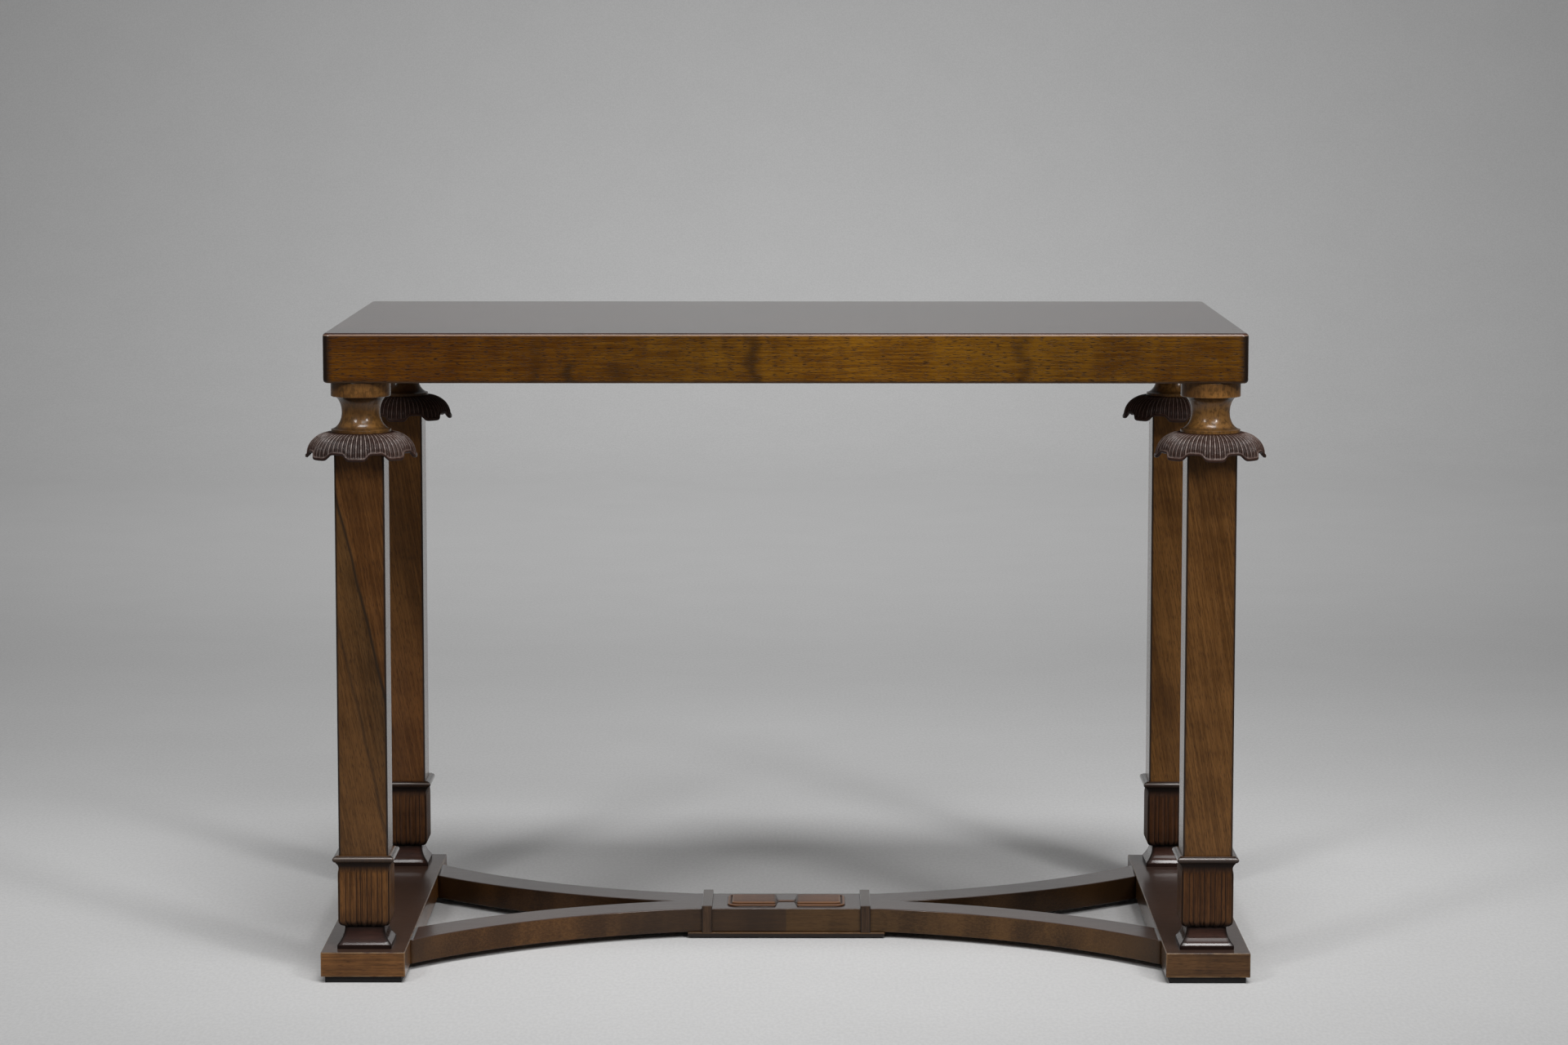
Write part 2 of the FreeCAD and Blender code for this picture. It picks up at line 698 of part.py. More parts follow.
def make_arm():
    """Front left quarter of the two bows, sawn off at the runner, with a tenon and pilots for two screws."""
    body = doc.addObject("PartDesign::Body", "arm_blank")
    plan = sketch_on(body, "XY_Plane", "arm_plan", "sole_thickness")
    blank_end = f"({RUNNER_FACE} + arm_tenon_length)"
    draw_outline(plan, [
        ("0", "0"),
        (f"-{NOTCH}", "0", ("x", "0")),
        (f"-{blank_end}", f"sqrt({BOW_INNER_RADIUS}^2 - {blank_end}^2) - {BOW_CENTRE}"),
        (f"-{blank_end}", f"sqrt({BOW_OUTER_RADIUS}^2 - {blank_end}^2) - {BOW_CENTRE}", ("x", "0")),
        (f"-{ARM_SHOULDER}", "-middle_depth / 2"),
        ("0", "-middle_depth / 2"),
    ])
    pad(body, plan, "rail_thickness")

    def is_outer(edge):
        reaches_glue_line = edge.BoundBox.YMax > -TOUCHING
        at_blank_end = edge.BoundBox.XMax < TOUCHING - value(blank_end)
        return is_level(edge) and not reaches_glue_line and not at_blank_end

    ease(body, "arm_edge_chamfer", is_outer, "Chamfer")
    waste = box(
        "arm_waste",
        (f"-({RUNNER_FACE} + 2 * arm_tenon_length)", f"-2 * {ARM_OUTER_END}", "0"),
        ("2 * arm_tenon_length", f"2 * {ARM_OUTER_END}", f"2 * {RUNNER_TOP}"),
    )
    tenon = box(
        "arm_tenon",
        (f"-({RUNNER_FACE} + arm_tenon_length)", f"-({ARM_TENON_Y} + arm_tenon_width / 2)",
         "sole_thickness + (rail_thickness - arm_tenon_height) / 2"),
        ("arm_tenon_length", "arm_tenon_width", "arm_tenon_height"),
    )
    whole = fuse("arm_with_tenon", [cut("arm_sawn", body, [waste]), tenon])
    pilots = [
        cylinder(
            f"arm_pilot_{index}", (x, y, "sole_thickness"),
            "(plate_screw_diameter + joint_clearance)",
            "(plate_screw_length - tie_plate_thickness + joint_clearance)",
        )
        for index, (x, y) in enumerate(plate_screw_places(), start=1)
    ]
    return cut("front_left_arm", whole, pilots)


def make_strap():
    """Band over the top and down both sides of the stretcher's middle."""
    body = doc.addObject("PartDesign::Body", "left_strap")
    outline = sketch_on(body, "YZ_Plane", "strap_outline", "-(strap_spacing + strap_width) / 2")
    inside = "middle_depth / 2"
    outside = f"({inside} + strap_thickness)"
    half = [(inside, "sole_thickness"), (outside, "sole_thickness"), (outside, f"{RUNNER_TOP} + strap_thickness")]
    left = [(f"-{x}", z) for x, z in reversed(half)]
    draw_outline(outline, [*half, *left, (f"-{inside}", RUNNER_TOP), (inside, RUNNER_TOP)])
    pad(body, outline, "strap_width")
    return body


def make_tie_plate():
    """Plate under the stretcher's middle, countersunk from below for its screws."""
    depth = "(middle_depth + 2 * strap_thickness)"
    foot = "(sole_thickness - tie_plate_thickness)"
    plate = eased_board(
        "tie_plate_blank",
        ("-tie_plate_length / 2", f"-{depth} / 2", foot),
        ("tie_plate_length", depth, "tie_plate_thickness"),
        "rail_edge_round",
    )
    holes = []
    for index, (x, y) in enumerate(plate_screw_places(), start=1):
        hole = cylinder(
            f"plate_hole_{index}", (x, y, foot),
            "(plate_screw_diameter + joint_clearance)", "tie_plate_thickness",
        )
        sink = cone(
            f"plate_sink_{index}", (x, y, foot),
            "(plate_screw_head_diameter + joint_clearance)", "(plate_screw_diameter + joint_clearance)",
            "plate_screw_head_height",
        )
        holes.extend(four_corners(fuse(f"plate_hole_tool_{index}", [hole, sink]), f"plate_hole_tool_{index}"))
    return cut("tie_plate", plate, holes)


def make_ornament():
    """Bow-shaped carving on the stretcher's middle: two grooved lobes joined by a narrow waist."""
    body = doc.addObject("PartDesign::Body", "ornament_blank")
    plan = sketch_on(body, "XY_Plane", "ornament_plan", RUNNER_TOP)
    end = "(ornament_length / 2)"
    side = "(ornament_depth / 2)"
    inner = "(ornament_gap / 2)"
    bend_x = f"({end} - ornament_corner)"
    bend_y = f"({side} - ornament_corner)"
    right = [
        ("0", "-ornament_waist / 2"),
        (inner, f"-{side}"),
        (bend_x, f"-{side}", ("x", bend_x)),
        (end, f"-{bend_y}"),
        (end, bend_y, ("x", bend_x)),
        (bend_x, side),
        (inner, side),
    ]
    left = [
        ("0", "ornament_waist / 2"),
        (f"-{inner}", side),
        (f"-{bend_x}", side, ("x", f"-{bend_x}")),
        (f"-{end}", bend_y),
        (f"-{end}", f"-{bend_y}", ("x", f"-{bend_x}")),
        (f"-{bend_x}", f"-{side}"),
        (f"-{inner}", f"-{side}"),
    ]
    draw_outline(plan, right + left)
    pad(body, plan, "ornament_height")
    top = value(f"{RUNNER_TOP} + ornament_height")
    ease(body, "ornament_edge_round", lambda edge: abs(edge.BoundBox.ZMin - top) < TOUCHING)
    groove = box(
        "left_ornament_groove",
        (f"-{bend_x}", "-ornament_groove_width / 2", f"{RUNNER_TOP} + ornament_height - ornament_groove_depth"),
        (f"{bend_x} - {inner}", "ornament_groove_width", "ornament_groove_depth"),
    )
    return cut("centre_ornament", body, left_and_right(groove, "ornament_groove"))


# Screws
def make_leg_screws():
    """One screw up through the runner into each leg's tenon."""
    axis = (f"-{LEG_X}", f"-{LEG_Y}")
    foot = "(sole_thickness + joint_clearance)"
    head = cylinder("leg_screw_head", (*axis, foot), "leg_screw_head_diameter", "leg_screw_head_height")
    shank = cylinder("leg_screw_shank", (*axis, foot), "leg_screw_diameter", "leg_screw_length")
    screw = fuse("leg_screw", [head, shank])
    return group("leg_screws", four_corners(screw, "leg_screw"))


def make_tie_plate_screws():
    """Two countersunk screws up through the tie plate into each arm."""
    foot = "(sole_thickness - tie_plate_thickness)"
    screws = []
    for index, (x, y) in enumerate(plate_screw_places(), start=1):
        head = cone(
            f"plate_screw_head_{index}", (x, y, foot),
            "plate_screw_head_diameter", "plate_screw_diameter", "plate_screw_head_height",
        )
        shank = cylinder(f"plate_screw_shank_{index}", (x, y, foot), "plate_screw_diameter", "plate_screw_length")
        screw = fuse(f"plate_screw_{index}", [head, shank])
        screws.extend(four_corners(screw, f"plate_screw_{index}"))
    return group("tie_plate_screws", screws)


pieces = [
    *make_top(),
    *four_corners(make_leg(), "leg"),
    *four_corners(make_capital(), "capital"),
    *four_corners(make_flower_collar(), "flower_collar"),
    *four_corners(make_reeded_block(), "reeded_block"),
    *four_corners(make_flared_plinth(), "flared_plinth"),
    *left_and_right(make_runner(), "runner"),
    *left_and_right(make_sole(), "runner_sole"),
    *four_corners(make_arm(), "arm"),
    *left_and_right(make_strap(), "strap"),
    make_tie_plate(),
    make_ornament(),
    make_leg_screws(),
    make_tie_plate_screws(),
]
doc.recompute()

# Nothing is written unless every object and every piece is sound
failed = [thing.Name for thing in doc.Objects if {"Invalid", "Error"} & set(thing.State)]
failed += [piece.Label for piece in pieces if piece.Shape.isNull() or not piece.Shape.isValid()]
failed += [piece.Label for piece in pieces if not piece.Shape.Solids]
if failed:
    raise RuntimeError("unsound: " + ", ".join(failed))

os.makedirs("parts", exist_ok=True)
for piece in pieces:
    piece.Shape.exportStep(f"parts/{piece.Label}.step")
    print(piece.Label, len(piece.Shape.Solids), "solid,", round(piece.Shape.Volume / 1000, 1), "cm3")
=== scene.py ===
"""Looks of the sofa table: carved, turned and bowed pieces over the fixed frame, polished wood, soft light.

Metres. +Z is up, +X runs along the top, and the front faces -Y.
"""
import math

import bpy
import numpy as np
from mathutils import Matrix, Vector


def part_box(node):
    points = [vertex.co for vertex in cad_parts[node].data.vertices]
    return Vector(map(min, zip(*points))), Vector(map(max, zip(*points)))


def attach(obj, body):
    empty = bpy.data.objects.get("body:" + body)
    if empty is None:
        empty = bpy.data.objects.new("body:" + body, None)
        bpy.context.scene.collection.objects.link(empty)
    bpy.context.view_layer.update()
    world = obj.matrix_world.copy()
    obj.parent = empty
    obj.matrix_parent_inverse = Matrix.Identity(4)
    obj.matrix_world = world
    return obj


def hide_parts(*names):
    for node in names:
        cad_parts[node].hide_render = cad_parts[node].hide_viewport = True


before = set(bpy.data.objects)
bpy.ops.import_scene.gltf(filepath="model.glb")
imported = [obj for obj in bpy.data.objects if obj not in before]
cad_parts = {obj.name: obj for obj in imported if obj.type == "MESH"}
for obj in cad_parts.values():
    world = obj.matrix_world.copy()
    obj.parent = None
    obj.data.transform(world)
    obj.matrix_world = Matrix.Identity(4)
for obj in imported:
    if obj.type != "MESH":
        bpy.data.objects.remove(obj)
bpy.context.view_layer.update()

MM = 0.001
CORNERS = ("front_left", "front_right", "back_left", "back_right")

# Half the width, in millimetres, of the hole that the capitals, collars, blocks and plinths share
BORE = 13.1


# Meshes from grids
def make_object(name, points, faces, smooth, shades):
    """Object at the origin from points, faces, a flag for each face and named numbers for each point."""
    mesh = bpy.data.meshes.new(name)
    mesh.from_pydata(points.reshape(-1, 3), [], faces)
    mesh.polygons.foreach_set("use_smooth", smooth)
    for label, numbers in shades.items():
        layer = mesh.attributes.new(label, "FLOAT", "POINT")
        spread = np.broadcast_to(numbers, points.shape[:2])
        layer.data.foreach_set("value", spread.astype(np.float32).ravel())
    mesh.update()
    thing = bpy.data.objects.new(name, mesh)
    bpy.context.scene.collection.objects.link(thing)
    return thing


def ring_solid(name, points, **shades):
    """Solid like a ring: a grid of points that closes both ways, each four neighbours making a face."""
    index = np.arange(points[..., 0].size).reshape(points.shape[:2])
    right = np.roll(index, -1, axis=1)
    quads = np.stack([index, right, np.roll(right, -1, axis=0), np.roll(index, -1, axis=0)], axis=-1)
    faces = quads.reshape(-1, 4).tolist()
    return make_object(name, points, faces, np.ones(len(faces), bool), shades)


def bar_solid(name, points, **shades):
    """Solid like a bar: closed sections in a row, each four neighbours making a face, with flat ends."""
    index = np.arange(points[..., 0].size).reshape(points.shape[:2])
    right = np.roll(index, -1, axis=1)
    quads = np.stack([index[:-1], right[:-1], right[1:], index[1:]], axis=-1)
    faces = quads.reshape(-1, 4).tolist()
    smooth = np.ones(len(faces) + 2, bool)
    smooth[-2:] = False
    faces += [index[0, ::-1].tolist(), index[-1].tolist()]
    return make_object(name, points, faces, smooth, shades)


def eased(corners, reach, steps=6):
    """Open line whose inner corners are short parabolas that begin and end at a reach from the corner.

    A further point on each straight, just off the parabola, keeps the shading of the straight flat.
    """
    corners = np.asarray(corners, float)
    middle = corners[1:-1]
    back = corners[:-2] - middle
    ahead = corners[2:] - middle
    reach = np.broadcast_to(reach, len(middle))[:, None]
    back *= reach / np.linalg.norm(back, axis=1, keepdims=True)
    ahead *= reach / np.linalg.norm(ahead, axis=1, keepdims=True)
    part = np.linspace(0, 1, steps)[None, :, None]
    bends = middle[:, None] + (1 - part) ** 2 * back[:, None] + part**2 * ahead[:, None]
    off_bend = 1.25
    before = (middle + off_bend * back)[:, None]
    after = (middle + off_bend * ahead)[:, None]
    bends = np.concatenate([before, bends, after], axis=1)
    line = np.concatenate([corners[:1], bends.reshape(-1, corners.shape[1]), corners[-1:]])
    apart = np.linalg.norm(np.diff(line, axis=0), axis=1) > 1e-7
    return line[np.concatenate([[True], apart])]


def arc(centre, radius, start, end, steps):
    """Points on a circle between two angles in degrees."""
    turn = np.radians(np.linspace(start, end, steps))
    return np.stack([centre[0] + radius * np.cos(turn), centre[1] + radius * np.sin(turn)], axis=-1)


def hollow_curve(end, waist, reach, steps):
    """Part of an ellipse from an end point to the waist, where it stands upright, hollow towards the outside.

    Reach is half the ellipse's height, and its width follows from the end point.
    """
    turn = np.linspace(math.asin((end[1] - waist[1]) / reach), 0, steps)
    width = (end[0] - waist[0]) / (1 - math.cos(turn[0]))
    return np.stack([waist[0] + width * (1 - np.cos(turn)), waist[1] + reach * np.sin(turn)], axis=-1)


def turned(profile, columns):
    """Grid of a profile of radius and height turned about the Z axis."""
    turn = np.linspace(0, 2 * math.pi, columns, endpoint=False)
    radius, height = profile[:, :1], profile[:, 1:]
    return np.stack(np.broadcast_arrays(radius * np.cos(turn), radius * np.sin(turn), height), axis=-1)


def square_section(places, corner_steps):
    """Rounded square, from one side's sample places between -1 and 1.

    Gives the core square's points and the outward directions, so that half a width h with corners of
    radius r is core times (h - r) plus direction times r.
    """
    turn = np.linspace(0, math.pi / 2, corner_steps + 2)[1:-1]
    side = np.stack([places, -np.ones_like(places)], axis=-1)
    core = np.concatenate([side, np.broadcast_to([1.0, -1.0], (corner_steps, 2))])
    out = np.concatenate([
        np.broadcast_to([0.0, -1.0], side.shape),
        np.stack([np.sin(turn), -np.cos(turn)], axis=-1),
    ])
    quarter = np.arange(4) * math.pi / 2
    spin = np.stack([
        np.stack([np.cos(quarter), -np.sin(quarter)], axis=-1),
        np.stack([np.sin(quarter), np.cos(quarter)], axis=-1),
    ], axis=1)
    return (np.einsum("qij,nj->qni", spin, grid).reshape(-1, 2) for grid in (core, out))


def bell(value, middle, width):
    """1 at the middle, falling smoothly to 0 on both sides."""
    return np.exp(-(((value - middle) / width) ** 2))


def ramp(value, start, end):
    """0 before the start, 1 past the end, straight between them."""
    return np.clip((value - start) / (end - start), 0, 1)


def middle_and_half(*nodes):
    """Middle of the box round some nodes, and half its sizes."""
    boxes = np.array([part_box(node) for node in nodes])
    low, high = boxes[:, 0].min(axis=0), boxes[:, 1].max(axis=0)
    return (low + high) / 2, (high - low) / 2


def set_at(grid, node):
    """A grid in millimetres about the Z axis, moved to a node's axis, with its foot on the node's foot."""
    middle, half = middle_and_half(node)
    return grid * MM + middle - [0, 0, half[2]]


def stand_for(piece, slot, *nodes):
    """Let a piece ride on the frame and hide the nodes it stands for. The slot is not used."""
    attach(piece, "root")
    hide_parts(*nodes)
    return piece


# Capitals
def make_capitals():
    """Turned capitals: an outline of radius and height, in millimetres, spun about each leg's axis.

    The neck is two parts of ellipses that stand upright where they meet at the waist, between the lip and the
    disc. Shade is painted shade in the corners of the outline, and edge marks the disc, which is painted
    lighter as light falling on it.
    """
    _, half = middle_and_half("front_left_capital")
    rim, tall = half[0] / MM, 2 * half[2] / MM
    lip, disc_foot, neck_head = 3.0, tall - 15, 26.2
    waist, lower_reach, upper_reach = (19.2, 19.8), 16.9, 16.8
    lower = hollow_curve((rim, lip), waist, lower_reach, 18)
    upper = hollow_curve((neck_head, disc_foot), waist, upper_reach, 16)[::-1]
    foot = eased([(BORE, 0), (rim, 0), lower[0], lower[1]], (0.6, 0.2))
    head = eased([upper[-2], upper[-1], (rim, disc_foot), (rim, tall), (BORE, tall)], (0.3, 0.9, 0.7))
    profile = np.concatenate([foot, lower[2:], upper[1:-2], head])

    radius, height = profile.T
    # Painted shade under the disc, at the lip and at the top
    under_disc = bell(height, disc_foot, 3.5) * (radius < neck_head + 2)
    at_lip = 0.7 * bell(height, lip + 1.5, 1.5) * (radius > waist[0] + 4)
    shade = np.maximum.reduce([under_disc, at_lip, bell(height, tall, 1.0)])
    # Painted light: the disc is made lighter, as light falling on it
    disc_painted_light = ramp(radius, neck_head + 1, rim - 1) * (height > disc_foot)
    grid = turned(profile, 128)
    for corner in CORNERS:
        node = f"{corner}_capital"
        piece = ring_solid(f"{node}_turned", set_at(grid, node), shade=shade[:, None], edge=disc_painted_light[:, None])
        give(stand_for(piece, "capital", node), "capital")


# Flower collars
RIBS = 66
LOBES = 8


def rib_heights(turn):
    """Alternate wide and narrow ribs, parabolas with a flat between them, and a line along each of them.

    Gives their heights between 0 and 1, and the lines, which become painted highlights, as bell curves over
    the angle, fainter on narrow ribs.
    """
    wide_half, narrow_half, narrow_rise = 0.29, 0.18, 0.65
    wide_line, narrow_line, narrow_strength = 0.10, 0.08, 0.45
    phase = (turn * RIBS / (2 * math.pi)) % 1 - 0.5
    off_narrow = np.abs(phase) - 0.5
    wide = 1 - (phase / wide_half) ** 2
    narrow = narrow_rise * (1 - (off_narrow / narrow_half) ** 2)
    lines = bell(phase, 0, wide_line) + narrow_strength * bell(off_narrow, 0, narrow_line)
    return np.maximum.reduce([wide, narrow, 0 * phase]), lines


def make_flower_collars():
    """Hollow domes of petals, in millimetres.

    Down the outside, radius grows with the sine of the slope and the drop with one minus its cosine, and
    the ribs are what is left when the valleys are cut into it. The dome ends on a ledge, and below it is a
    rim that hangs lower at each lobe, by a flattened cosine of the angle. The inside is a quarter ellipse.
    Shade is painted shade in the valleys, near the crown and inside. Edge is a painted highlight along the
    ribs, less so near the rim, and on the ledge.
    """
    rim_reach, crown, top_radius, seat, hollow = 56.0, 25.5, 30.2, 17.5, 37.4
    notch_depth, notch_lift, lobe_rim, rim_loss = 3.2, 6.2, 3.2, 0.6
    ledge, valley_depth, edge_round, wall, inner_step = 1.2, 1.3, 0.8, 3.0, 0.4
    flatness, lobe_share = 2.6, 0.1
    turn = np.linspace(0, 2 * math.pi, RIBS * 12, endpoint=False)
    ribs, lines = rib_heights(turn)
    notch = (1 - np.tanh(flatness * (np.cos(LOBES * turn) + lobe_share))) / 2
    rim_radius = rim_reach - notch_depth * notch
    rim_foot = notch_lift * notch
    rim_tall = lobe_rim - rim_loss * notch

    part = np.linspace(0, 1, 44)[:, None]
    slope = part * math.pi / 2
    cut = valley_depth * (1 - ribs) * ramp(part, 0.0, 0.06) * ramp(part, 1.0, 0.96)
    dome_radius = rim_radius - ledge
    dome_drop = crown - rim_foot - rim_tall
    outer_radius = top_radius + (dome_radius - top_radius) * np.sin(slope) - cut * np.sin(slope)
    outer_height = crown - dome_drop * (1 - np.cos(slope)) - cut * np.cos(slope)

    step_out = np.array([0.5, 0.85, 1.0])[:, None]
    step_down = np.array([0.0, 0.05, 0.2])[:, None]
    rim_outer = dome_radius + ledge * step_out
    rim_height = rim_foot + rim_tall - rim_tall * step_down
    bend = np.linspace(0, math.pi, 9)[:, None]
    lip_radius = rim_radius - wall / 2 + wall / 2 * np.cos(bend)
    lip_height = rim_foot + edge_round * (1 - np.sin(bend))

    back = np.linspace(math.pi / 2, 0, 16)[:, None]
    inner_radius = hollow + (rim_radius - wall - hollow) * np.sin(back)
    inner_height = seat - (seat - rim_foot - edge_round - inner_step) * (1 - np.cos(back))
    plain = np.ones_like(turn)
    tail_radius = np.array([[BORE], [BORE]]) * plain
    tail_height = np.array([[seat], [crown]]) * plain

    radius = np.concatenate([outer_radius, rim_outer, lip_radius, inner_radius, tail_radius])
    height = np.concatenate([outer_height, rim_height, lip_height, inner_height, tail_height])
    grid = np.stack([radius * np.cos(turn), radius * np.sin(turn), height], axis=-1)

    # Painted shade in the valleys, near the crown, on the rim, under the lip and inside
    valley = (1 - ribs) * ramp(part, 0.0, 0.05) * ramp(part, 1.0, 0.97)
    outer_shade = np.maximum(valley, 0.7 * ramp(part, 0.10, 0.0))
    rim_shade = 0.25 + 0 * rim_outer
    lip_shade = 0.6 + 0 * lip_radius
    inner_shade = 0.9 + 0 * inner_radius
    shade = np.concatenate([outer_shade, rim_shade, lip_shade, inner_shade, 0.9 + 0 * tail_radius])
    # Painted highlights along the ribs, at the foot of the dome and on the ledge
    fading = ramp(part, 0.05, 0.20) * (1 - 0.55 * ramp(part, 0.45, 0.90))
    outer_highlight = np.maximum(lines * fading, 0.3 * ramp(part, 0.96, 1.0))
    rim_highlight = np.array([0.3, 0.2, 0.05])[:, None] * plain
    rest = np.zeros((len(lip_radius) + len(inner_radius) + len(tail_radius), len(turn)))
    edge = np.concatenate([outer_highlight, rim_highlight, rest])
    for corner in CORNERS:
        node = f"{corner}_flower_collar"
        piece = ring_solid(f"{node}_ribbed", set_at(grid, node)[::-1], shade=shade[::-1], edge=edge[::-1])
        give(stand_for(piece, "carving", node), "carving")


# Reeded blocks
WIDE_REED = 6.5
NARROW_REED = 4.125
NARROW_REEDS = 4
NARROW_RISE = 0.64
BLUNTNESS = 0.6


def reed_places():
    """Sample places along one side, in millimetres, with the reeds' heights there as shares of a wide one's.

    Each reed is a blunt parabola. A narrow one lies between two wide ones and is less high.
    """
    widths = np.array([WIDE_REED, NARROW_REED] * NARROW_REEDS + [WIDE_REED])
    rises = np.array([1.0, NARROW_RISE] * NARROW_REEDS + [1.0])
    starts = np.cumsum(widths) - widths - widths.sum() / 2
    part = np.linspace(0, 1, 10)[:-1]
    places = (starts[:, None] + widths[:, None] * part).ravel()
    heights = (rises[:, None] * (4 * part * (1 - part)) ** BLUNTNESS).ravel()
    ends = np.array([starts[-1] + widths[-1]])
    return np.concatenate([places, ends]), np.concatenate([heights, ends * 0])


def make_reeded_blocks():
    """Reeded blocks, in millimetres.

    A rounded square has a half width that follows one outline at the reeds' crests and another in their
    valleys, mixed by the reeds' heights. Above the reeds are a cove, a half-round bead, a small ledge and a
    flat top. Shade is painted shade between the reeds, at the foot, in the cove, over the bead and at the
    corners above it, edge marks the glossy upper half of the bead, and a third number marks a painted
    highlight line along it.
    """
    places, reed = reed_places()
    easing, corner_steps = 1.2, 5
    valley_face, crest_face, top = 25.4, 26.5, 73.5
    core, out = square_section(places / (valley_face - easing), corner_steps)
    reed = np.tile(np.concatenate([reed, np.zeros(corner_steps)]), 4)

    crest_round, valley_round, valley_lift, foot_half, fade_start = 6.5, 8.5, 1.0, 17.0, 53.0
    bead_round, bead_middle, cove_round, cove_foot, bead_drop = 3.0, 28.1, 8.2, 60.0, 0.6
    valley_foot = arc((valley_face - valley_round, valley_round + valley_lift), valley_round, -80, 0, 12)
    crest_foot = arc((crest_face - crest_round, crest_round), crest_round, -90, 0, 12)
    levels = np.array([20.0, 40.0, 52.0, 55.0, 57.0, 59.0, cove_foot])
    fade = ramp(levels, fade_start, cove_foot) ** 2
    shaft_crest = np.stack([crest_face + (valley_face - crest_face) * fade, levels], axis=-1)
    shaft_valley = np.stack([valley_face + 0 * levels, levels], axis=-1)
    cove = arc((valley_face + cove_round, cove_foot), cove_round, 180, 133, 9)[1:]
    bead_foot = top - bead_drop - 2 * bead_round
    quirk = np.array([[cove[-1, 0] + 0.1, bead_foot - 0.3], [cove[-1, 0] + 0.2, bead_foot]])
    bead = arc((bead_middle, top - bead_drop - bead_round), bead_round, -80, 80, 16)
    head = np.array([[bead_middle, top - bead_drop], [bead_middle - 0.1, top], [valley_face, top - 0.1]])
    hole = np.array([[BORE, top - 0.5], [BORE, 0.1], [foot_half, 0.0]])
    above = np.concatenate([cove, quirk, bead, head, hole])
    crest = np.concatenate([crest_foot, shaft_crest, above])
    valley = np.concatenate([valley_foot, shaft_valley, above])

    line = valley[:, None] + (crest - valley)[:, None] * reed[None, :, None]
    half, height = line[..., :1], line[..., 1:]
    round_off = np.minimum(easing, half * 0.3)
    grid = np.concatenate([core * (half - round_off) + out * round_off, height], axis=-1)

    level = height[..., 0]
    in_reeds = ramp(level, cove_foot, cove_foot - 4)
    corner_line = bell(np.abs(np.abs(grid[..., 0]) - np.abs(grid[..., 1])), 0, 1.2)
    on_bead = (half[..., 0] > bead_middle - 0.05) * (level > bead_foot)
    # Painted shade between the reeds, at the foot, in the cove and crease, over the bead and at its corners
    shade = np.maximum.reduce([
        ramp(reed, 0.45, 0.05) * in_reeds,
        bell(level, 1, 4.5),
        ramp(level, cove_foot - 5, cove_foot + 3) * (level < bead_foot + 0.2),
        bell(level, bead_foot, 0.9) * (half[..., 0] > valley_face + 0.1),
        0.85 * on_bead,
        bell(level, top - bead_drop, 0.4) * (half[..., 0] > bead_middle - 0.3),
        0.85 * corner_line * (level > cove_foot),
    ])
    bead_top = on_bead * ramp(level, bead_foot + 1.0, bead_foot + 3.0)
    bead_top = np.maximum(bead_top, (level > top - 0.3) * (half[..., 0] > valley_face - 1))
    # Painted highlight line along the bead's upper part
    worn = on_bead * bell(level, top - bead_drop - 1.5, 0.7)
    for corner in CORNERS:
        node = f"{corner}_reeded_block"
        piece = ring_solid(f"{node}_carved", set_at(grid, node), shade=shade, edge=bead_top, worn=worn)
        give(stand_for(piece, "reeding", node), "reeding")


# Plinths
def make_plinths():
    """Flared plinths, in millimetres: a rounded square whose half width follows a fillet and a hollow curve.

    Shade is dark along the corners, under the block above and on the fillet.
    """
    foot_half, neck_half, tall, fillet, sweep_reach, sole_half = 27.3, 20.0, 22.0, 4.0, 25.8, 24.0
    sweep = hollow_curve((foot_half, fillet), (neck_half, tall), sweep_reach, 14)
    foot = eased([(sole_half, 0), (foot_half, 0), sweep[0], sweep[1]], (0.3, 0.7))
    outline = np.concatenate([foot, sweep[2:], [(BORE, tall), (BORE, 0.0)]])
    half, level = outline[:, None, :1], outline[:, None, 1:]
    core, out = square_section(np.linspace(-1, 1, 14), 5)
    round_off = np.minimum(1.0, half * 0.2)
    plan = core * (half - round_off) + out * round_off
    grid = np.concatenate([plan, np.broadcast_to(level, (*plan.shape[:2], 1))], axis=-1)
    off_corner = np.abs(np.abs(plan[..., 0]) - np.abs(plan[..., 1]))
    shade = np.maximum.reduce([
        0.95 * ramp(off_corner, 3.0, 1.2),
        bell(level[..., 0], tall, 3.0) + 0 * off_corner,
        0.8 * ramp(level[..., 0], fillet + 0.2, fillet - 0.6) + 0 * off_corner,
    ])
    for corner in CORNERS:
        node = f"{corner}_flared_plinth"
        piece = ring_solid(f"{node}_moulded", set_at(grid, node), shade=shade)
        give(stand_for(piece, "plinth", node), "plinth")


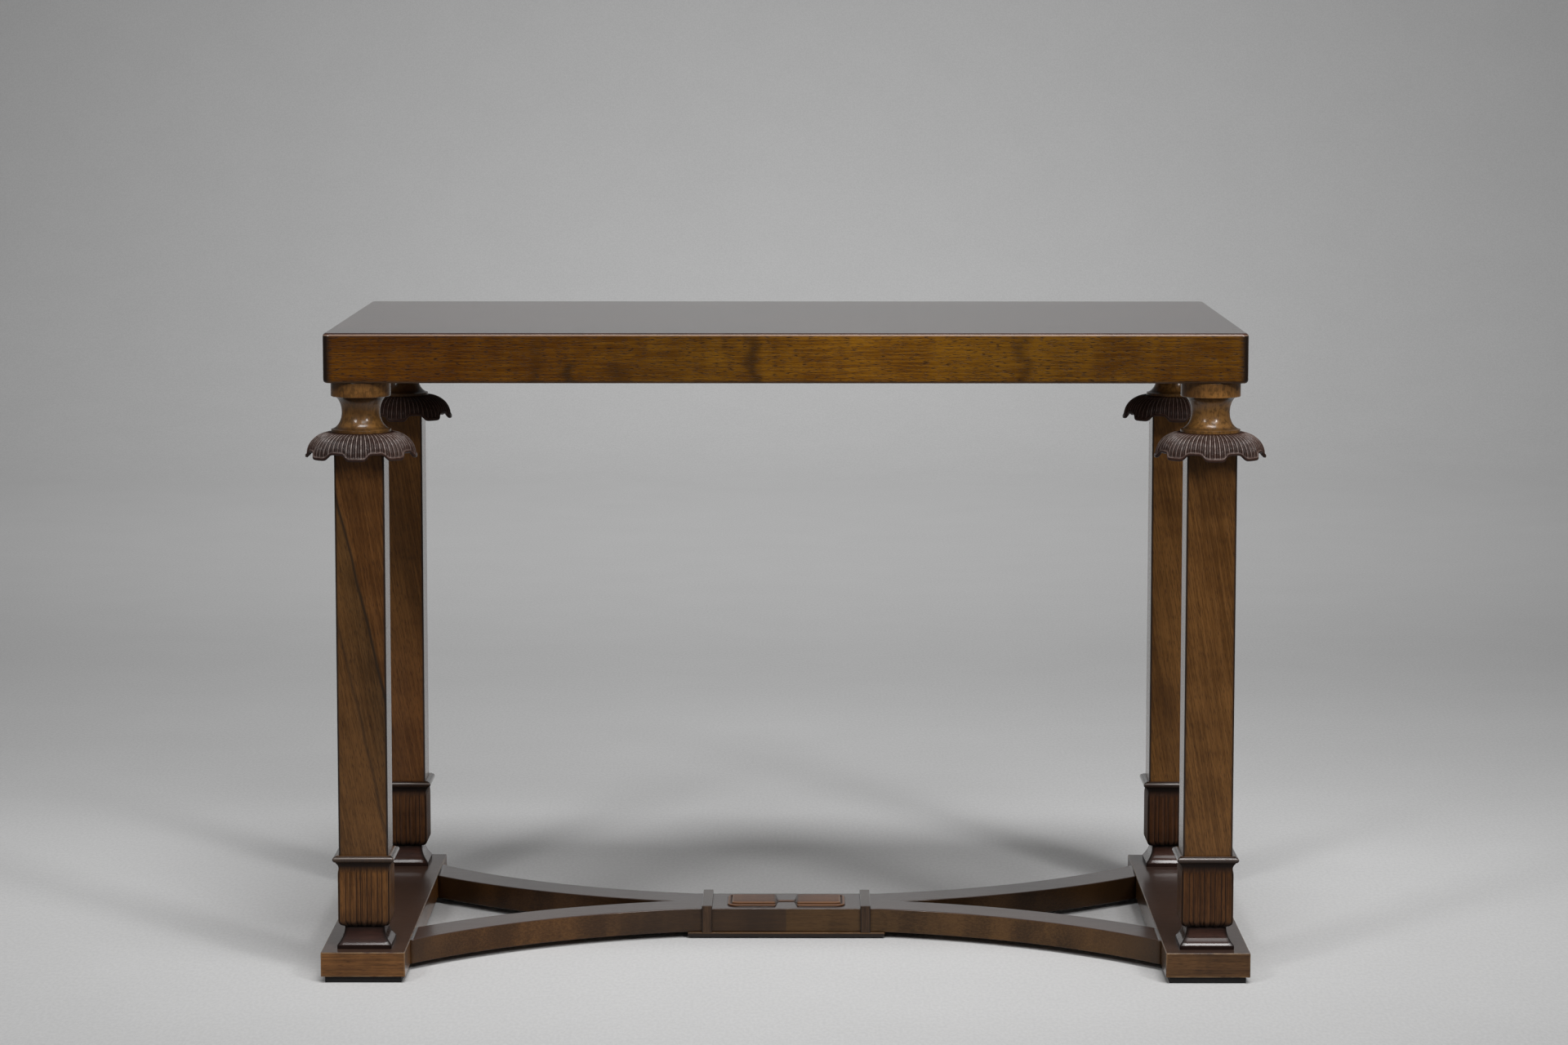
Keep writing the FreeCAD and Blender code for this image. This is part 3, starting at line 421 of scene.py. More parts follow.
# Stretcher
def make_arms():
    """Quarters of the two bows, in metres: rectangles with eased corners at stations along X.

    The outer edge is an arc, held off the middle line by at least half the block's depth. The inner edge
    is an arc about the same centre that stops at the glue line. Tone tells the left arms, which are a darker
    board, from the right ones, and reach is the share of the way from the middle to the runner.
    """
    low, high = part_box("front_left_arm")
    floor_gap, top = low[2], high[2]
    runner_face = -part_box("left_runner")[1][0]
    spread, notch, width, half_block = 136.8 * MM, 120 * MM, 44 * MM, 40.2 * MM
    ease_far, ease_most = 1.0 * MM, 0.8 * MM
    centre = (spread**2 + runner_face**2 - notch**2) / (2 * spread)
    inner = math.hypot(centre, notch)
    outer = inner - width
    shoulder = math.sqrt(outer**2 - (centre - half_block) ** 2)
    along = np.unique(np.concatenate([
        [0, 0.1 * MM], np.linspace(5 * MM, shoulder, 8), np.linspace(shoulder, notch, 8),
        np.linspace(notch, runner_face, 60),
    ]))
    near = np.maximum(0, centre - np.sqrt(inner**2 - along**2))[:, None]
    far = np.maximum(half_block, centre - np.sqrt(outer**2 - along**2))[:, None]
    bend = np.linspace(0, math.pi / 2, 5)
    off_bend = 0.25
    out = np.concatenate([[-off_bend], np.sin(bend), [1]])
    up = np.concatenate([[0], 1 - np.cos(bend), [1 + off_bend]])
    ease_near = np.minimum(ease_most, near)

    def corner_line(off_middle, level):
        """Section points side by side, from distances off the middle line and levels."""
        return np.stack(np.broadcast_arrays(off_middle, level), axis=-1)

    section = np.concatenate([
        corner_line(far - ease_far * (1 - out), floor_gap + ease_far * up),
        corner_line(far - ease_far * (1 - out[::-1]), top - ease_far * up[::-1]),
        corner_line(near + ease_near * (1 - out), top - ease_near * up),
        corner_line(near + ease_near * (1 - out[::-1]), floor_gap + ease_near * up[::-1]),
    ], axis=1)
    station = np.broadcast_to(along[:, None, None], (*section.shape[:2], 1))
    quarter = np.concatenate([station, section], axis=-1)
    reach = (along / runner_face)[:, None]
    for corner in CORNERS:
        side = -1 if "left" in corner else 1
        face = -1 if "front" in corner else 1
        grid = quarter * [side, face, 1]
        grid = grid if side * face > 0 else grid[:, ::-1]
        tone = np.array([[0.0 if side < 0 else 1.0]])
        piece = bar_solid(f"{corner}_arm_bowed", grid, tone=tone, reach=reach)
        give(stand_for(piece, "rail", f"{corner}_arm"), "arm")


def make_straps():
    """Bands over the block, in metres: one U-shaped outline, a little smaller at both sides of the band."""
    thick, ease, corner = 3.5 * MM, 0.4 * MM, 1.2 * MM
    for side in ("left", "right"):
        low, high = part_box(f"{side}_strap")
        inside, foot, roof = high[1] - thick, low[2], high[2] - thick
        inner = [(-inside, foot), (-inside, roof), (inside, roof), (inside, foot)]
        stations = []
        for x, loss in ((low[0], ease), (low[0] + ease, 0), (high[0] - ease, 0), (high[0], ease)):
            wide = high[1] - loss
            tall = high[2] - loss
            outside = eased([(wide, foot), (wide, tall), (-wide, tall), (-wide, foot)], corner)
            stations.append(np.insert(np.concatenate([outside, inner]), 0, x, axis=1))
        piece = bar_solid(f"{side}_strap_eased", np.stack(stations))
        piece.data.polygons.foreach_set("use_smooth", np.zeros(len(piece.data.polygons), bool))
        give(stand_for(piece, "strap", f"{side}_strap"), "strap")


# Carved ornament
def make_ornament():
    """Bow-shaped carving, in millimetres, as a height over its outline.

    Half the depth at each station along X is full over a lobe, falls as a circle at the outer corners, and
    pinches smoothly to the waist. From the edge the height rises as a quarter ellipse to a rim. A groove with
    the outline of a bell curve divides the rim from the field, which rises as another quarter ellipse. All of
    it is half as wide at the ends, and falls away towards the pinch. Shade is painted shade in the grooves,
    at the pinch and along the foot, and edge is a painted highlight along the two crests.
    """
    _, half = middle_and_half("centre_ornament")
    half_length, half_depth, tall = half[0] / MM, half[1] / MM, 2 * half[2] / MM
    bend, waist, rim, groove, groove_width, groove_depth = 12.0, 6.0, 5.2, 8.8, 1.6, 1.1
    rim_tall, shoulder, pinch_start, pinch_end, end_pace = 0.55 * tall, 16.0, 8.5, 12.0, 2.0
    thinnest, knot_share = 0.15, 0.35
    along = half_length * np.sin(np.linspace(-math.pi / 2, math.pi / 2, 161))
    past = np.clip(np.abs(along) - (half_length - bend), 0, bend)
    outer = half_depth - bend + np.sqrt(bend**2 - past**2)
    pinch = ramp(np.abs(along), pinch_start, pinch_end)
    depth = waist + (outer - waist) * (3 * pinch**2 - 2 * pinch**3)
    across = np.sin(np.linspace(-math.pi / 2, math.pi / 2, 81))
    x, share = np.meshgrid(along, across, indexing="ij")
    y = share * depth[:, None]
    from_side = depth[:, None] - np.abs(y)
    from_end = end_pace * (half_length - np.abs(x))
    past_x = np.clip(np.abs(x) - half_length + bend, 0, None)
    past_y = np.clip(np.abs(y) - half_depth + bend, 0, None)
    pace = 1 + (end_pace - 1) * past_x**2 / np.maximum(past_x**2 + past_y**2, 1e-9)
    from_corner = pace * (bend - np.hypot(past_x, past_y)) + half_length * (past_x * past_y == 0)
    from_edge = np.clip(np.minimum.reduce([from_side, from_end, from_corner]), 0, None)
    rim_rise = np.sqrt(1 - (1 - ramp(from_edge, 0, rim)) ** 2)
    field_rise = np.sqrt(1 - (1 - ramp(from_edge, groove, shoulder)) ** 2)
    height = rim_tall * rim_rise + (tall - rim_tall) * field_rise
    height = height - groove_depth * bell(from_edge, groove, groove_width)
    off_knot = ramp(np.abs(x), pinch_start, pinch_end)
    height = np.maximum(thinnest, height * (knot_share + (1 - knot_share) * off_knot))
    ring = np.concatenate([
        np.stack([x, y, height], axis=-1), np.stack([x, y, 0 * height], axis=-1)[:, ::-1],
    ], axis=1)
    # Painted shade at the pinch, along the foot, in the groove and on the slopes
    dark = np.maximum.reduce([
        bell(np.abs(x), (pinch_start + pinch_end) / 2, 2.5), ramp(from_edge, 1.0, 0.2),
        bell(from_edge, groove - 1, groove_width), 0.6 * ramp(from_edge, 1.8, 1.2),
        0.6 * ramp(from_edge, groove + 2, groove + 1) * (from_edge > groove),
    ])
    # Painted highlights along the two crests
    crests = off_knot * (bell(from_edge, rim / 2, 0.8) + bell(from_edge, groove + 2.8, 0.9))
    shade = np.concatenate([dark, dark[:, ::-1]], axis=1)
    edge = np.concatenate([crests, crests[:, ::-1]], axis=1)
    piece = bar_solid("centre_ornament_carved", set_at(ring, "centre_ornament")[:, ::-1],
                      shade=shade[:, ::-1], edge=edge[:, ::-1])
    give(stand_for(piece, "ornament", "centre_ornament"), "ornament")


# Shader arithmetic
class Shade:
    """One value in a shader. Arithmetic on it adds nodes, and node() feeds it to a node of any kind."""

    def __init__(self, tree, socket):
        self.tree = tree
        self.socket = socket

    def node(self, kind, settings, sockets, output=0):
        """New node in the same tree: its settings first, then its sockets. Gives the chosen output."""
        made = self.tree.nodes.new(kind)
        for name, setting in settings.items():
            setattr(made, name, setting)
        for key, value in sockets.items():
            if isinstance(value, Shade):
                self.tree.links.new(value.socket, made.inputs[key])
            else:
                made.inputs[key].default_value = value
        return Shade(self.tree, made.outputs[output])

    def math(self, operation, *values):
        """A sum that the shader does: its name first, then its values."""
        return self.node("ShaderNodeMath", {"operation": operation}, dict(enumerate(values)))

    def __add__(self, other):
        return self.math("ADD", self, other)

    def __radd__(self, other):
        return self.math("ADD", other, self)

    def __sub__(self, other):
        return self.math("SUBTRACT", self, other)

    def __rsub__(self, other):
        return self.math("SUBTRACT", other, self)

    def __mul__(self, other):
        return self.math("MULTIPLY", self, other)

    def __rmul__(self, other):
        return self.math("MULTIPLY", other, self)

    def __truediv__(self, other):
        return self.math("DIVIDE", self, other)

    def __abs__(self):
        return self.math("ABSOLUTE", self)

    def most(self, other):
        """The greater of two values."""
        return self.math("MAXIMUM", self, other)

    def least(self, other):
        """The lesser of two values."""
        return self.math("MINIMUM", self, other)

    def fraction(self):
        """What is left above the whole number below."""
        return self.math("FRACT", self)

    def step(self, low, high):
        """0 below low, 1 above high, and smooth between them. Turned round where low is the greater."""
        if low > high:
            return 1.0 - self.step(high, low)
        return self.node(
            "ShaderNodeMapRange", {"interpolation_type": "SMOOTHSTEP"},
            {"Value": self, "From Min": low, "From Max": high})

    def band(self, middle, width):
        """1 at the middle, falling smoothly to 0 at a width on both sides."""
        return abs(self - middle).step(width, 0.0)

    def mix(self, first, second):
        """From one colour to another as this value goes from 0 to 1."""
        return self.node("ShaderNodeMix", {"data_type": "RGBA"}, {0: self, 6: first, 7: second}, 2)


# Half the distance, in metres, over which the tone of one side of the table turns into that of the other
SIDE_BLEND = 0.1


class Finish:
    """A new material, with its object coordinates and its surface shader."""

    def __init__(self, name):
        self.material = bpy.data.materials.new(name)
        self.material.use_nodes = True
        self.tree = self.material.node_tree
        self.surface = self.tree.nodes["Principled BSDF"]
        place = self.tree.nodes.new("ShaderNodeTexCoord").outputs["Object"]
        self.place = Shade(self.tree, place)
        self.x, self.y, self.z = (
            self.place.node("ShaderNodeSeparateXYZ", {}, {0: self.place}, output) for output in range(3))

    def noise(self, x, y, z, detail=3.0, roughness=0.5):
        """Smooth noise between about 0.2 and 0.8, over three values."""
        where = self.place.node("ShaderNodeCombineXYZ", {}, {0: x, 1: y, 2: z})
        return where.node(
            "ShaderNodeTexNoise", {},
            {"Vector": where, "Scale": 1.0, "Detail": detail, "Roughness": roughness})

    def painted(self, name):
        """A number stored on the mesh's points."""
        return self.place.node("ShaderNodeAttribute", {"attribute_name": name}, {}, "Fac")

    def from_faces(self, middle, half):
        """Distances to the faces of a box, and of its mirror images in X and Y, across X, Y and Z."""
        axes = zip((self.x, self.y, self.z), np.abs(middle).tolist(), half.tolist())
        return [reach - abs(abs(axis) - centre) for axis, centre, reach in axes]

    def from_edge(self, middle, half):
        """Distance to the nearest edge of a box: the middle one of the distances to its faces."""
        first, second, third = self.from_faces(middle, half)
        return first.least(second).most(first.most(second).least(third))

    def on_right(self):
        """1 on the right half of the table, 0 on the left half."""
        return self.x.step(-SIDE_BLEND, SIDE_BLEND)

    def on_back(self, blend=SIDE_BLEND):
        """1 on the back half of the table, 0 on the front half."""
        return self.y.step(-blend, blend)

    def on_sides(self, node, start=0.0006, full=0.0001):
        """1 on the faces of a node's box that look along X, and of its mirror images.

        It begins and is full at two distances from the face.
        """
        return self.from_faces(*middle_and_half(node))[0].step(start, full)

    def on_roof(self, node, start=0.0010, full=0.0003):
        """1 on a node's upper face. It begins and is full at two distances below the face."""
        roof = float(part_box(node)[1][2])
        return self.z.step(roof - start, roof - full)

    def set(self, **sockets):
        """Feed values to the surface, with words joined by underscores."""
        for name, value in sockets.items():
            socket = self.surface.inputs[name.replace("_", " ")]
            if isinstance(value, Shade):
                self.tree.links.new(value.socket, socket)
            else:
                socket.default_value = value

    def bump(self, height, depth):
        """Bend the surface's normal by a height, in metres at full height."""
        normal = height.node("ShaderNodeBump", {}, {"Strength": 1.0, "Distance": depth, "Height": height})
        self.set(Normal=normal)

    def cover(self, amount, paint):
        """Lay a colour over the finish where the amount is near 1."""
        self.colour = amount.mix(self.colour, paint)
        self.set(Base_Color=self.colour)

    def tint(self, amount, red, green, blue):
        """Multiply the finish's colour by a factor for each channel where the amount is near 1."""
        self.colour = amount.node(
            "ShaderNodeMix", {"data_type": "RGBA", "blend_type": "MULTIPLY"},
            {0: amount, 6: self.colour, 7: colour(red, green, blue)}, 2)
        self.set(Base_Color=self.colour)


def colour(red, green, blue):
    """A colour that covers fully, from its three channels."""
    return (red, green, blue, 1.0)


def wood(name, along, dark, light, pores=0.5, streaks=0.4, mottle=0.25, slant=0.0, rough=0.34, coat=0.15,
         gloss=0.3):
    """Polished wood with its grain along one axis, or slanting off it by a share of the way along.

    Tone is broad noise stretched along the grain, plus bands across the grain, plus fine streaks. Short dark
    pores come from noise that is far finer across the grain than along it.
    """
    finish = Finish(name)
    broad_share = 0.45
    axes = {"x": finish.x, "y": finish.y, "z": finish.z}
    run = axes.pop(along)
    first, second = axes.values()
    first = first + slant * run
    broad = finish.noise(run * 2.6, first * 16, second * 16, 2.0)
    bands = finish.noise(run * 38, first * 12, second * 12, 2.0)
    fine = finish.noise(run * 20, first * 640, second * 640, 3.0, 0.6)
    pore = finish.noise(run * 140, first * 1300, second * 1300, 1.0).step(0.53, 0.68) * pores
    layers = (broad_share * broad.step(0.30, 0.70) + mottle * bands.step(0.30, 0.70)
              + streaks * fine.step(0.32, 0.68))
    tone = layers / (broad_share + mottle + streaks)
    pore_colour = colour(*(0.25 * share for share in dark[:3]))
    finish.colour = pore.mix(tone.step(0.05, 0.95).mix(dark, light), pore_colour)
    finish.set(
        Base_Color=finish.colour, Roughness=rough + (fine - 0.5) * 0.18 + pore * 0.08,
        Coat_Weight=coat, Coat_Roughness=0.14, IOR=1.45, Specular_IOR_Level=gloss)
    finish.bump(fine * 0.6 - pore, 0.0001)
    return finish


# Finishes
# Near-black, laid on as painted shade in hollows, creases and under things, and along some edges and corners
SHADE_AND_EDGE_DARK = colour(0.008, 0.005, 0.004)

# Tints along the front and back of the top: places along X where each begins and is full, and its factors
LIPPING_TINTS = (
    (-0.10, -0.26, (0.97, 0.88, 0.60)),
    (-0.26, -0.38, (0.86, 0.78, 0.70)),
    (0.28, 0.42, (0.98, 0.92, 0.60)),
)

# A lighter stretch of the same faces: its middle and half its width along X
LIGHT_MIDDLE = 0.08
LIGHT_WIDTH = 0.16

# Darker bands across the same faces: place along X, half width, strength and height
FIGURE_BANDS = (
    (-0.247, 0.012, 0.40, 0.060), (-0.216, 0.013, 0.90, 0.026), (-0.167, 0.010, 0.50, 0.026),
    (-0.034, 0.011, 0.75, 0.060), (0.237, 0.011, 0.50, 0.060),
)

# Growth lines in the legs: their slope, the gap between them along X, and where the chief one meets the floor
GROWTH_SLOPE = 0.226
GROWTH_GAP = 0.0297
GROWTH_START = -0.337

finishes = {}


def top_wood():
    """Dark red-brown top face, a little redder towards its ends, with a polish that is not quite even."""
    top = wood("top_face_polish", "x", colour(0.034, 0.016, 0.010), colour(0.080, 0.039, 0.026),
               pores=0.2, streaks=0.3, rough=0.20, coat=0.80)
    end_start, end_full = 0.15, 0.36
    top.tint(abs(top.x).step(end_start, end_full), 1.06, 0.92, 0.95)
    top.bump(top.noise(top.x * 8, top.y * 40, top.z * 40), 0.00001)
    return top


def lipping_wood(name, along):
    """Golden lipping of the top, with a painted highlight along its upper edge, painted shade along its lower
    edge and dark upright corners.

    The front and back ones have tints, figure bands and a lighter stretch along X.
    """
    lipping = wood(name, along, colour(0.062, 0.021, 0.0010), colour(0.163, 0.070, 0.0040), pores=0.9,
                   streaks=0.5, gloss=0.2)
    middle, half = middle_and_half("front_lipping", "back_lipping", "top_veneer", "underside_veneer")
    from_end, from_front, _ = lipping.from_faces(middle * [0, 0, 1], half)
    above = lipping.z - float(middle[2] - half[2])
    below = float(middle[2] + half[2]) - lipping.z
    if along == "x":
        for start, full, factors in LIPPING_TINTS:
            lipping.tint(lipping.x.step(start, full), *factors)
        lipping.tint(lipping.x.band(LIGHT_MIDDLE, LIGHT_WIDTH), 1.40, 1.38, 1.25)
        wander = lipping.noise(lipping.x * 30, lipping.y * 30, lipping.z * 55, 2.0)
        for place, width, strength, tall in FIGURE_BANDS:
            figure = (lipping.x + (wander - 0.5) * 0.035).band(place, width) * above.step(tall, 0.6 * tall)
            lipping.cover(figure * strength, colour(0.030, 0.012, 0.002))
    corner_start, corner_full, foot_start, foot_full = 0.0105, 0.0020, 0.0030, 0.0010
    highlight_line, highlight_width, gloss_start, gloss_full = 0.0019, 0.0014, 0.0045, 0.0030
    lipping.cover(from_end.most(from_front).step(corner_start, corner_full) * 0.95, SHADE_AND_EDGE_DARK)
    # Painted shade along the lower edge
    lipping.cover(above.step(foot_start, foot_full) * 0.6, SHADE_AND_EDGE_DARK)
    # Painted highlight along the rounded upper edge
    lipping.cover(below.band(highlight_line, highlight_width) * 0.55, colour(0.480, 0.310, 0.220))
    lipping.set(Coat_Weight=0.1 + 0.9 * below.step(gloss_start, gloss_full))
    return lipping


def leg_wood():
    """Slanting brown wood of the legs, with faint growth lines, dark edges and glossy side faces.

    The front left leg has two strong lines with a darker zone between them. Each leg has a tone of its own:
    the back legs are painted lighter to make up for the shade of the top, the right ones are lighter than the
    left ones, and all are darker near the floor.
    """
    leg = wood("leg_polish", "z", colour(0.049, 0.019, 0.0036), colour(0.122, 0.053, 0.0145),
               pores=0.5, streaks=0.4, mottle=0.2, slant=0.17)
    back, right = leg.on_back(), leg.on_right()
    front_left = (1.0 - back) * (1.0 - right)
    back_left = back * (1.0 - right)
    back_right = back * right

    wander = leg.noise(leg.x * 12, leg.y * 12, leg.z * 9, 2.0)
    across = leg.x + GROWTH_SLOPE * leg.z - GROWTH_START + (wander - 0.5) * 0.010
    growth = (across / GROWTH_GAP).fraction()
    leg.cover(growth.step(0.16, 0.0) * 0.12, colour(0.022, 0.011, 0.004))
    between = across.step(0.001, 0.0) * across.step(-1.4 * GROWTH_GAP, -0.1 * GROWTH_GAP)
    leg.tint(front_left * between, 0.74, 0.79, 0.85)
    leg.tint(front_left * across.step(0.0, 0.004), 1.08, 1.00, 0.93)
    lines = across.band(0.0, 0.0024) + 0.6 * across.band(-GROWTH_GAP, 0.0030)
    leg.cover(front_left * lines * 0.85, colour(0.014, 0.008, 0.004))

    dark_middle, dark_reach, red_start, red_full, low_start, low_full = 0.30, 0.20, 0.36, 0.16, 0.45, 0.25
    leg.tint(1.0 - back_left, 1.15, 1.15, 1.10)
    leg.tint(front_left * leg.z.band(dark_middle, dark_reach), 0.90, 0.90, 0.92)
    leg.tint(right, 1.28, 1.28, 1.20)
    # Painted light: the back legs are made lighter, to make up for the shade of the top
    leg.tint(back, 1.45, 1.40, 1.15)
    leg.tint(back_right, 0.76, 0.78, 0.85)
    leg.tint(back_left * leg.z.step(red_start, red_full), 1.02, 0.93, 0.97)
    leg.tint(leg.z.step(low_start, low_full), 0.90, 0.91, 0.95)

    edge_start, edge_full = 0.0030, 0.0008
    from_edge = leg.from_edge(*middle_and_half("front_right_leg"))
    leg.cover(from_edge.step(edge_start, edge_full) * 0.9, SHADE_AND_EDGE_DARK)
    leg.set(Coat_Weight=0.15 + 0.65 * leg.on_sides("front_right_leg"))
    return leg


def capital_wood():
    """Mottled orange-brown wood of the capitals, painted light on the disc, painted shade in the corners."""
    capital = wood("capital_polish", "z", colour(0.062, 0.026, 0.007), colour(0.235, 0.112, 0.030),
                   pores=0.3, streaks=0.1, mottle=0.5, rough=0.34, coat=0.5, gloss=0.2)
    blotch = capital.noise(capital.x * 260, capital.y * 260, capital.z * 190, 4.0, 0.6).step(0.44, 0.64)
    capital.cover(blotch * 0.6, colour(0.046, 0.022, 0.006))
    # Painted light on the disc, and painted shade in the corners of the outline
    capital.tint(capital.painted("edge"), 1.35, 1.30, 1.20)
    capital.cover(capital.painted("shade") * 0.8, SHADE_AND_EDGE_DARK)
    return capital


def carving_wood():
    """Dark wood of the flower collars, with painted shade and patchy painted highlights, less at the back."""
    carving = wood("carving_polish", "z", colour(0.031, 0.013, 0.009), colour(0.070, 0.030, 0.020),
                   pores=0.2, streaks=0.3, rough=0.40, gloss=0.15)
    # Painted highlights along the ribs, in patches and fainter at the back, where the top's shade falls; then
    # painted shade
    highlight_patches = carving.noise(carving.x * 240, carving.y * 240, carving.z * 240, 2.0).step(0.36, 0.62)
    edge = carving.painted("edge") * (1.0 - 0.6 * carving.on_back())
    carving.cover(edge * (0.40 + 0.6 * highlight_patches), colour(0.420, 0.350, 0.320))
    carving.cover(carving.painted("shade") * 0.95, SHADE_AND_EDGE_DARK)
    carving.set(Coat_Weight=0.05 + 0.6 * edge)
    return carving


def reeding_wood():
    """Streaky red-brown wood of the blocks, with painted shade, a glossy bead and a painted highlight."""
    reeding = wood("reeding_polish", "z", colour(0.050, 0.019, 0.005), colour(0.155, 0.066, 0.019),
                   pores=0.4, streaks=0.6, mottle=0.3, gloss=0.18)
    # Painted shade: the back blocks are made darker
    reeding.tint(reeding.on_back(), 0.75, 0.70, 0.75)
    reeding.tint(reeding.on_right(), 0.62, 0.58, 0.60)
    shade, glossy = reeding.painted("shade"), reeding.painted("edge")
    # Painted shade from the shade numbers, and a painted highlight line along the bead
    reeding.cover(shade * 0.95, SHADE_AND_EDGE_DARK)
    reeding.cover(reeding.painted("worn") * 0.55, colour(0.300, 0.250, 0.225))
    reeding.set(Coat_Weight=0.05 + 0.95 * glossy, Coat_Roughness=0.09,
                Roughness=0.36 + 0.5 * (shade * (1.0 - glossy)))
    return reeding


def plinth_wood():
    """Very dark, glossy wood of the plinths, with painted shade that also dulls its coat."""
    plinth = wood("plinth_polish", "x", colour(0.026, 0.009, 0.006), colour(0.062, 0.025, 0.016),
                  pores=0.3, streaks=0.3, rough=0.38, coat=0.5, gloss=0.1)
    shade = plinth.painted("shade")
    # Painted shade from the shade numbers, which also dulls the coat
    plinth.cover(shade * 0.9, SHADE_AND_EDGE_DARK)
    plinth.set(Coat_Weight=0.8 * (1.0 - shade), Coat_Roughness=0.09)
    return plinth


def runner_wood():
    """Brown wood of the runners: darker on the right, painted reflection on top, edges light from wear."""
    runner = wood("runner_polish", "x", colour(0.065, 0.028, 0.007), colour(0.175, 0.082, 0.026), pores=0.4)
    runner.tint(1.0 - runner.on_right(), 1.28, 1.15, 0.95)
    runner.tint(runner.on_right(), 0.63, 0.61, 0.60)
    on_roof = runner.on_roof("right_runner")
    # Painted reflection: the top face is made darker and greyer
    runner.cover(on_roof * 0.85, colour(0.062, 0.038, 0.031))
    runner.set(Coat_Weight=0.1 + 0.5 * on_roof.most(runner.on_sides("right_runner")))
    worn_start, worn_full = 0.0018, 0.0006
    worn = runner.noise(runner.x * 90, runner.y * 90, runner.z * 90).step(0.35, 0.65)
    near_edge = runner.from_edge(*middle_and_half("right_runner")).step(worn_start, worn_full)
    runner.cover(near_edge * worn * 0.7, colour(0.22, 0.13, 0.06))
    return runner


def arm_wood():
    """Mottled wood of the stretcher's arms, dark at the middle and at the runners, with a glossy top.

    The left arms are a darker board than the right ones. The top faces carry a pale painted reflection,
    and the back arms are painted darker as shade.
    """
    arm = wood("arm_polish", "x", colour(0.034, 0.015, 0.0040), colour(0.102, 0.048, 0.0140), pores=0.3,
               mottle=0.5)
    right, reach = arm.painted("tone"), arm.painted("reach")
    left = 1.0 - right
    arm.cover(left * reach.step(0.70, 0.30) * 0.7, colour(0.021, 0.012, 0.008))
    arm.tint(right * reach.step(0.60, 0.25), 0.72, 0.76, 0.84)
    arm.cover(reach.step(0.82, 1.0) * 0.6, colour(0.030, 0.016, 0.008))
    arm.tint(left * reach.step(0.30, 0.70), 1.30, 1.20, 1.10)
    # Painted shade: the back arms are made darker
    arm.tint(arm.on_back(SIDE_BLEND / 2), 0.42, 0.40, 0.38)
    on_roof = arm.on_roof("front_left_arm")
    # Painted reflection: the top faces are made paler and greyer
    arm.cover(on_roof * 0.85, colour(0.082, 0.054, 0.046))
    arm.set(Coat_Weight=0.05 + on_roof * (0.80 + 0.15 * reach.step(0.45, 0.25)))
    return arm


def strap_wood():
    """Brown wood of the bands, glossy above, and darker along their upright edges."""
    strap = wood("strap_polish", "z", colour(0.034, 0.017, 0.008), colour(0.080, 0.042, 0.020), pores=0.4)
    on_roof = strap.on_roof("left_strap", 0.0014, 0.0005)
    strap.set(Coat_Weight=0.05 + 0.95 * on_roof)
    at_side = strap.on_sides("right_strap", 0.0016, 0.0006)
    strap.cover(at_side * (1.0 - on_roof) * 0.7, SHADE_AND_EDGE_DARK)
    return strap


def plate_wood():
    """Brown wood of the plate under the stretcher, with painted shade below its upper edge."""
    plate = wood("plate_polish", "x", colour(0.055, 0.026, 0.009), colour(0.120, 0.060, 0.022), pores=0.4)
    # Painted shade below the upper edge
    plate.cover((1.0 - plate.on_roof("tie_plate", 0.0020, 0.0005)) * 0.95, SHADE_AND_EDGE_DARK)
    return plate


def ornament_wood():
    """Copper-brown wood of the ornament, painted shade in the grooves, painted highlights on the crests."""
    ornament = wood("ornament_polish", "x", colour(0.095, 0.032, 0.008), colour(0.205, 0.080, 0.025),
                    pores=0.4, rough=0.34, coat=0.35, gloss=0.15)
    # Painted shade in the grooves and painted highlights on the crests
    ornament.cover(ornament.painted("shade") * 0.9, SHADE_AND_EDGE_DARK)
    ornament.cover(ornament.painted("edge") * 0.4, colour(0.640, 0.430, 0.310))
    return ornament


def screw_steel():
    """Steel of the screws, brushed along their length."""
    screw = Finish("screw_steel")
    brushed = screw.noise(screw.x * 900, screw.y * 900, screw.z * 60)
    screw.set(Base_Color=brushed.mix(colour(0.42, 0.41, 0.40), colour(0.62, 0.61, 0.59)), Metallic=1.0,
              Roughness=0.3 + brushed * 0.25)
    return screw


def make_finishes():
    """One material for each kind of piece."""
    finishes["top_face"] = top_wood()
    finishes["lipping"] = lipping_wood("lipping_polish", "x")
    finishes["lipping_end"] = lipping_wood("end_lipping_polish", "y")
    finishes["underside"] = wood(
        "underside_stain", "x", colour(0.06, 0.03, 0.014), colour(0.13, 0.07, 0.035), rough=0.6, coat=0.0)
    finishes["core"] = wood(
        "core_boards", "x", colour(0.25, 0.15, 0.07), colour(0.45, 0.30, 0.16), rough=0.75, coat=0.0)
    finishes["leg"] = leg_wood()
    finishes["capital"] = capital_wood()
    finishes["carving"] = carving_wood()
    finishes["reeding"] = reeding_wood()
    finishes["plinth"] = plinth_wood()
    finishes["rail"] = runner_wood()
    finishes["arm"] = arm_wood()
    finishes["strap"] = strap_wood()
    finishes["plate"] = plate_wood()
    finishes["ornament"] = ornament_wood()
    finishes["sole"] = wood(
        "ebonised_sole", "y", colour(0.006, 0.005, 0.005), colour(0.014, 0.012, 0.012), rough=0.6, coat=0.0)
    finishes["screw"] = screw_steel()


def give(thing, finish):
    """Put a finish in an object's only slot."""
    thing.data.materials.clear()
    thing.data.materials.append(finishes[finish].material)


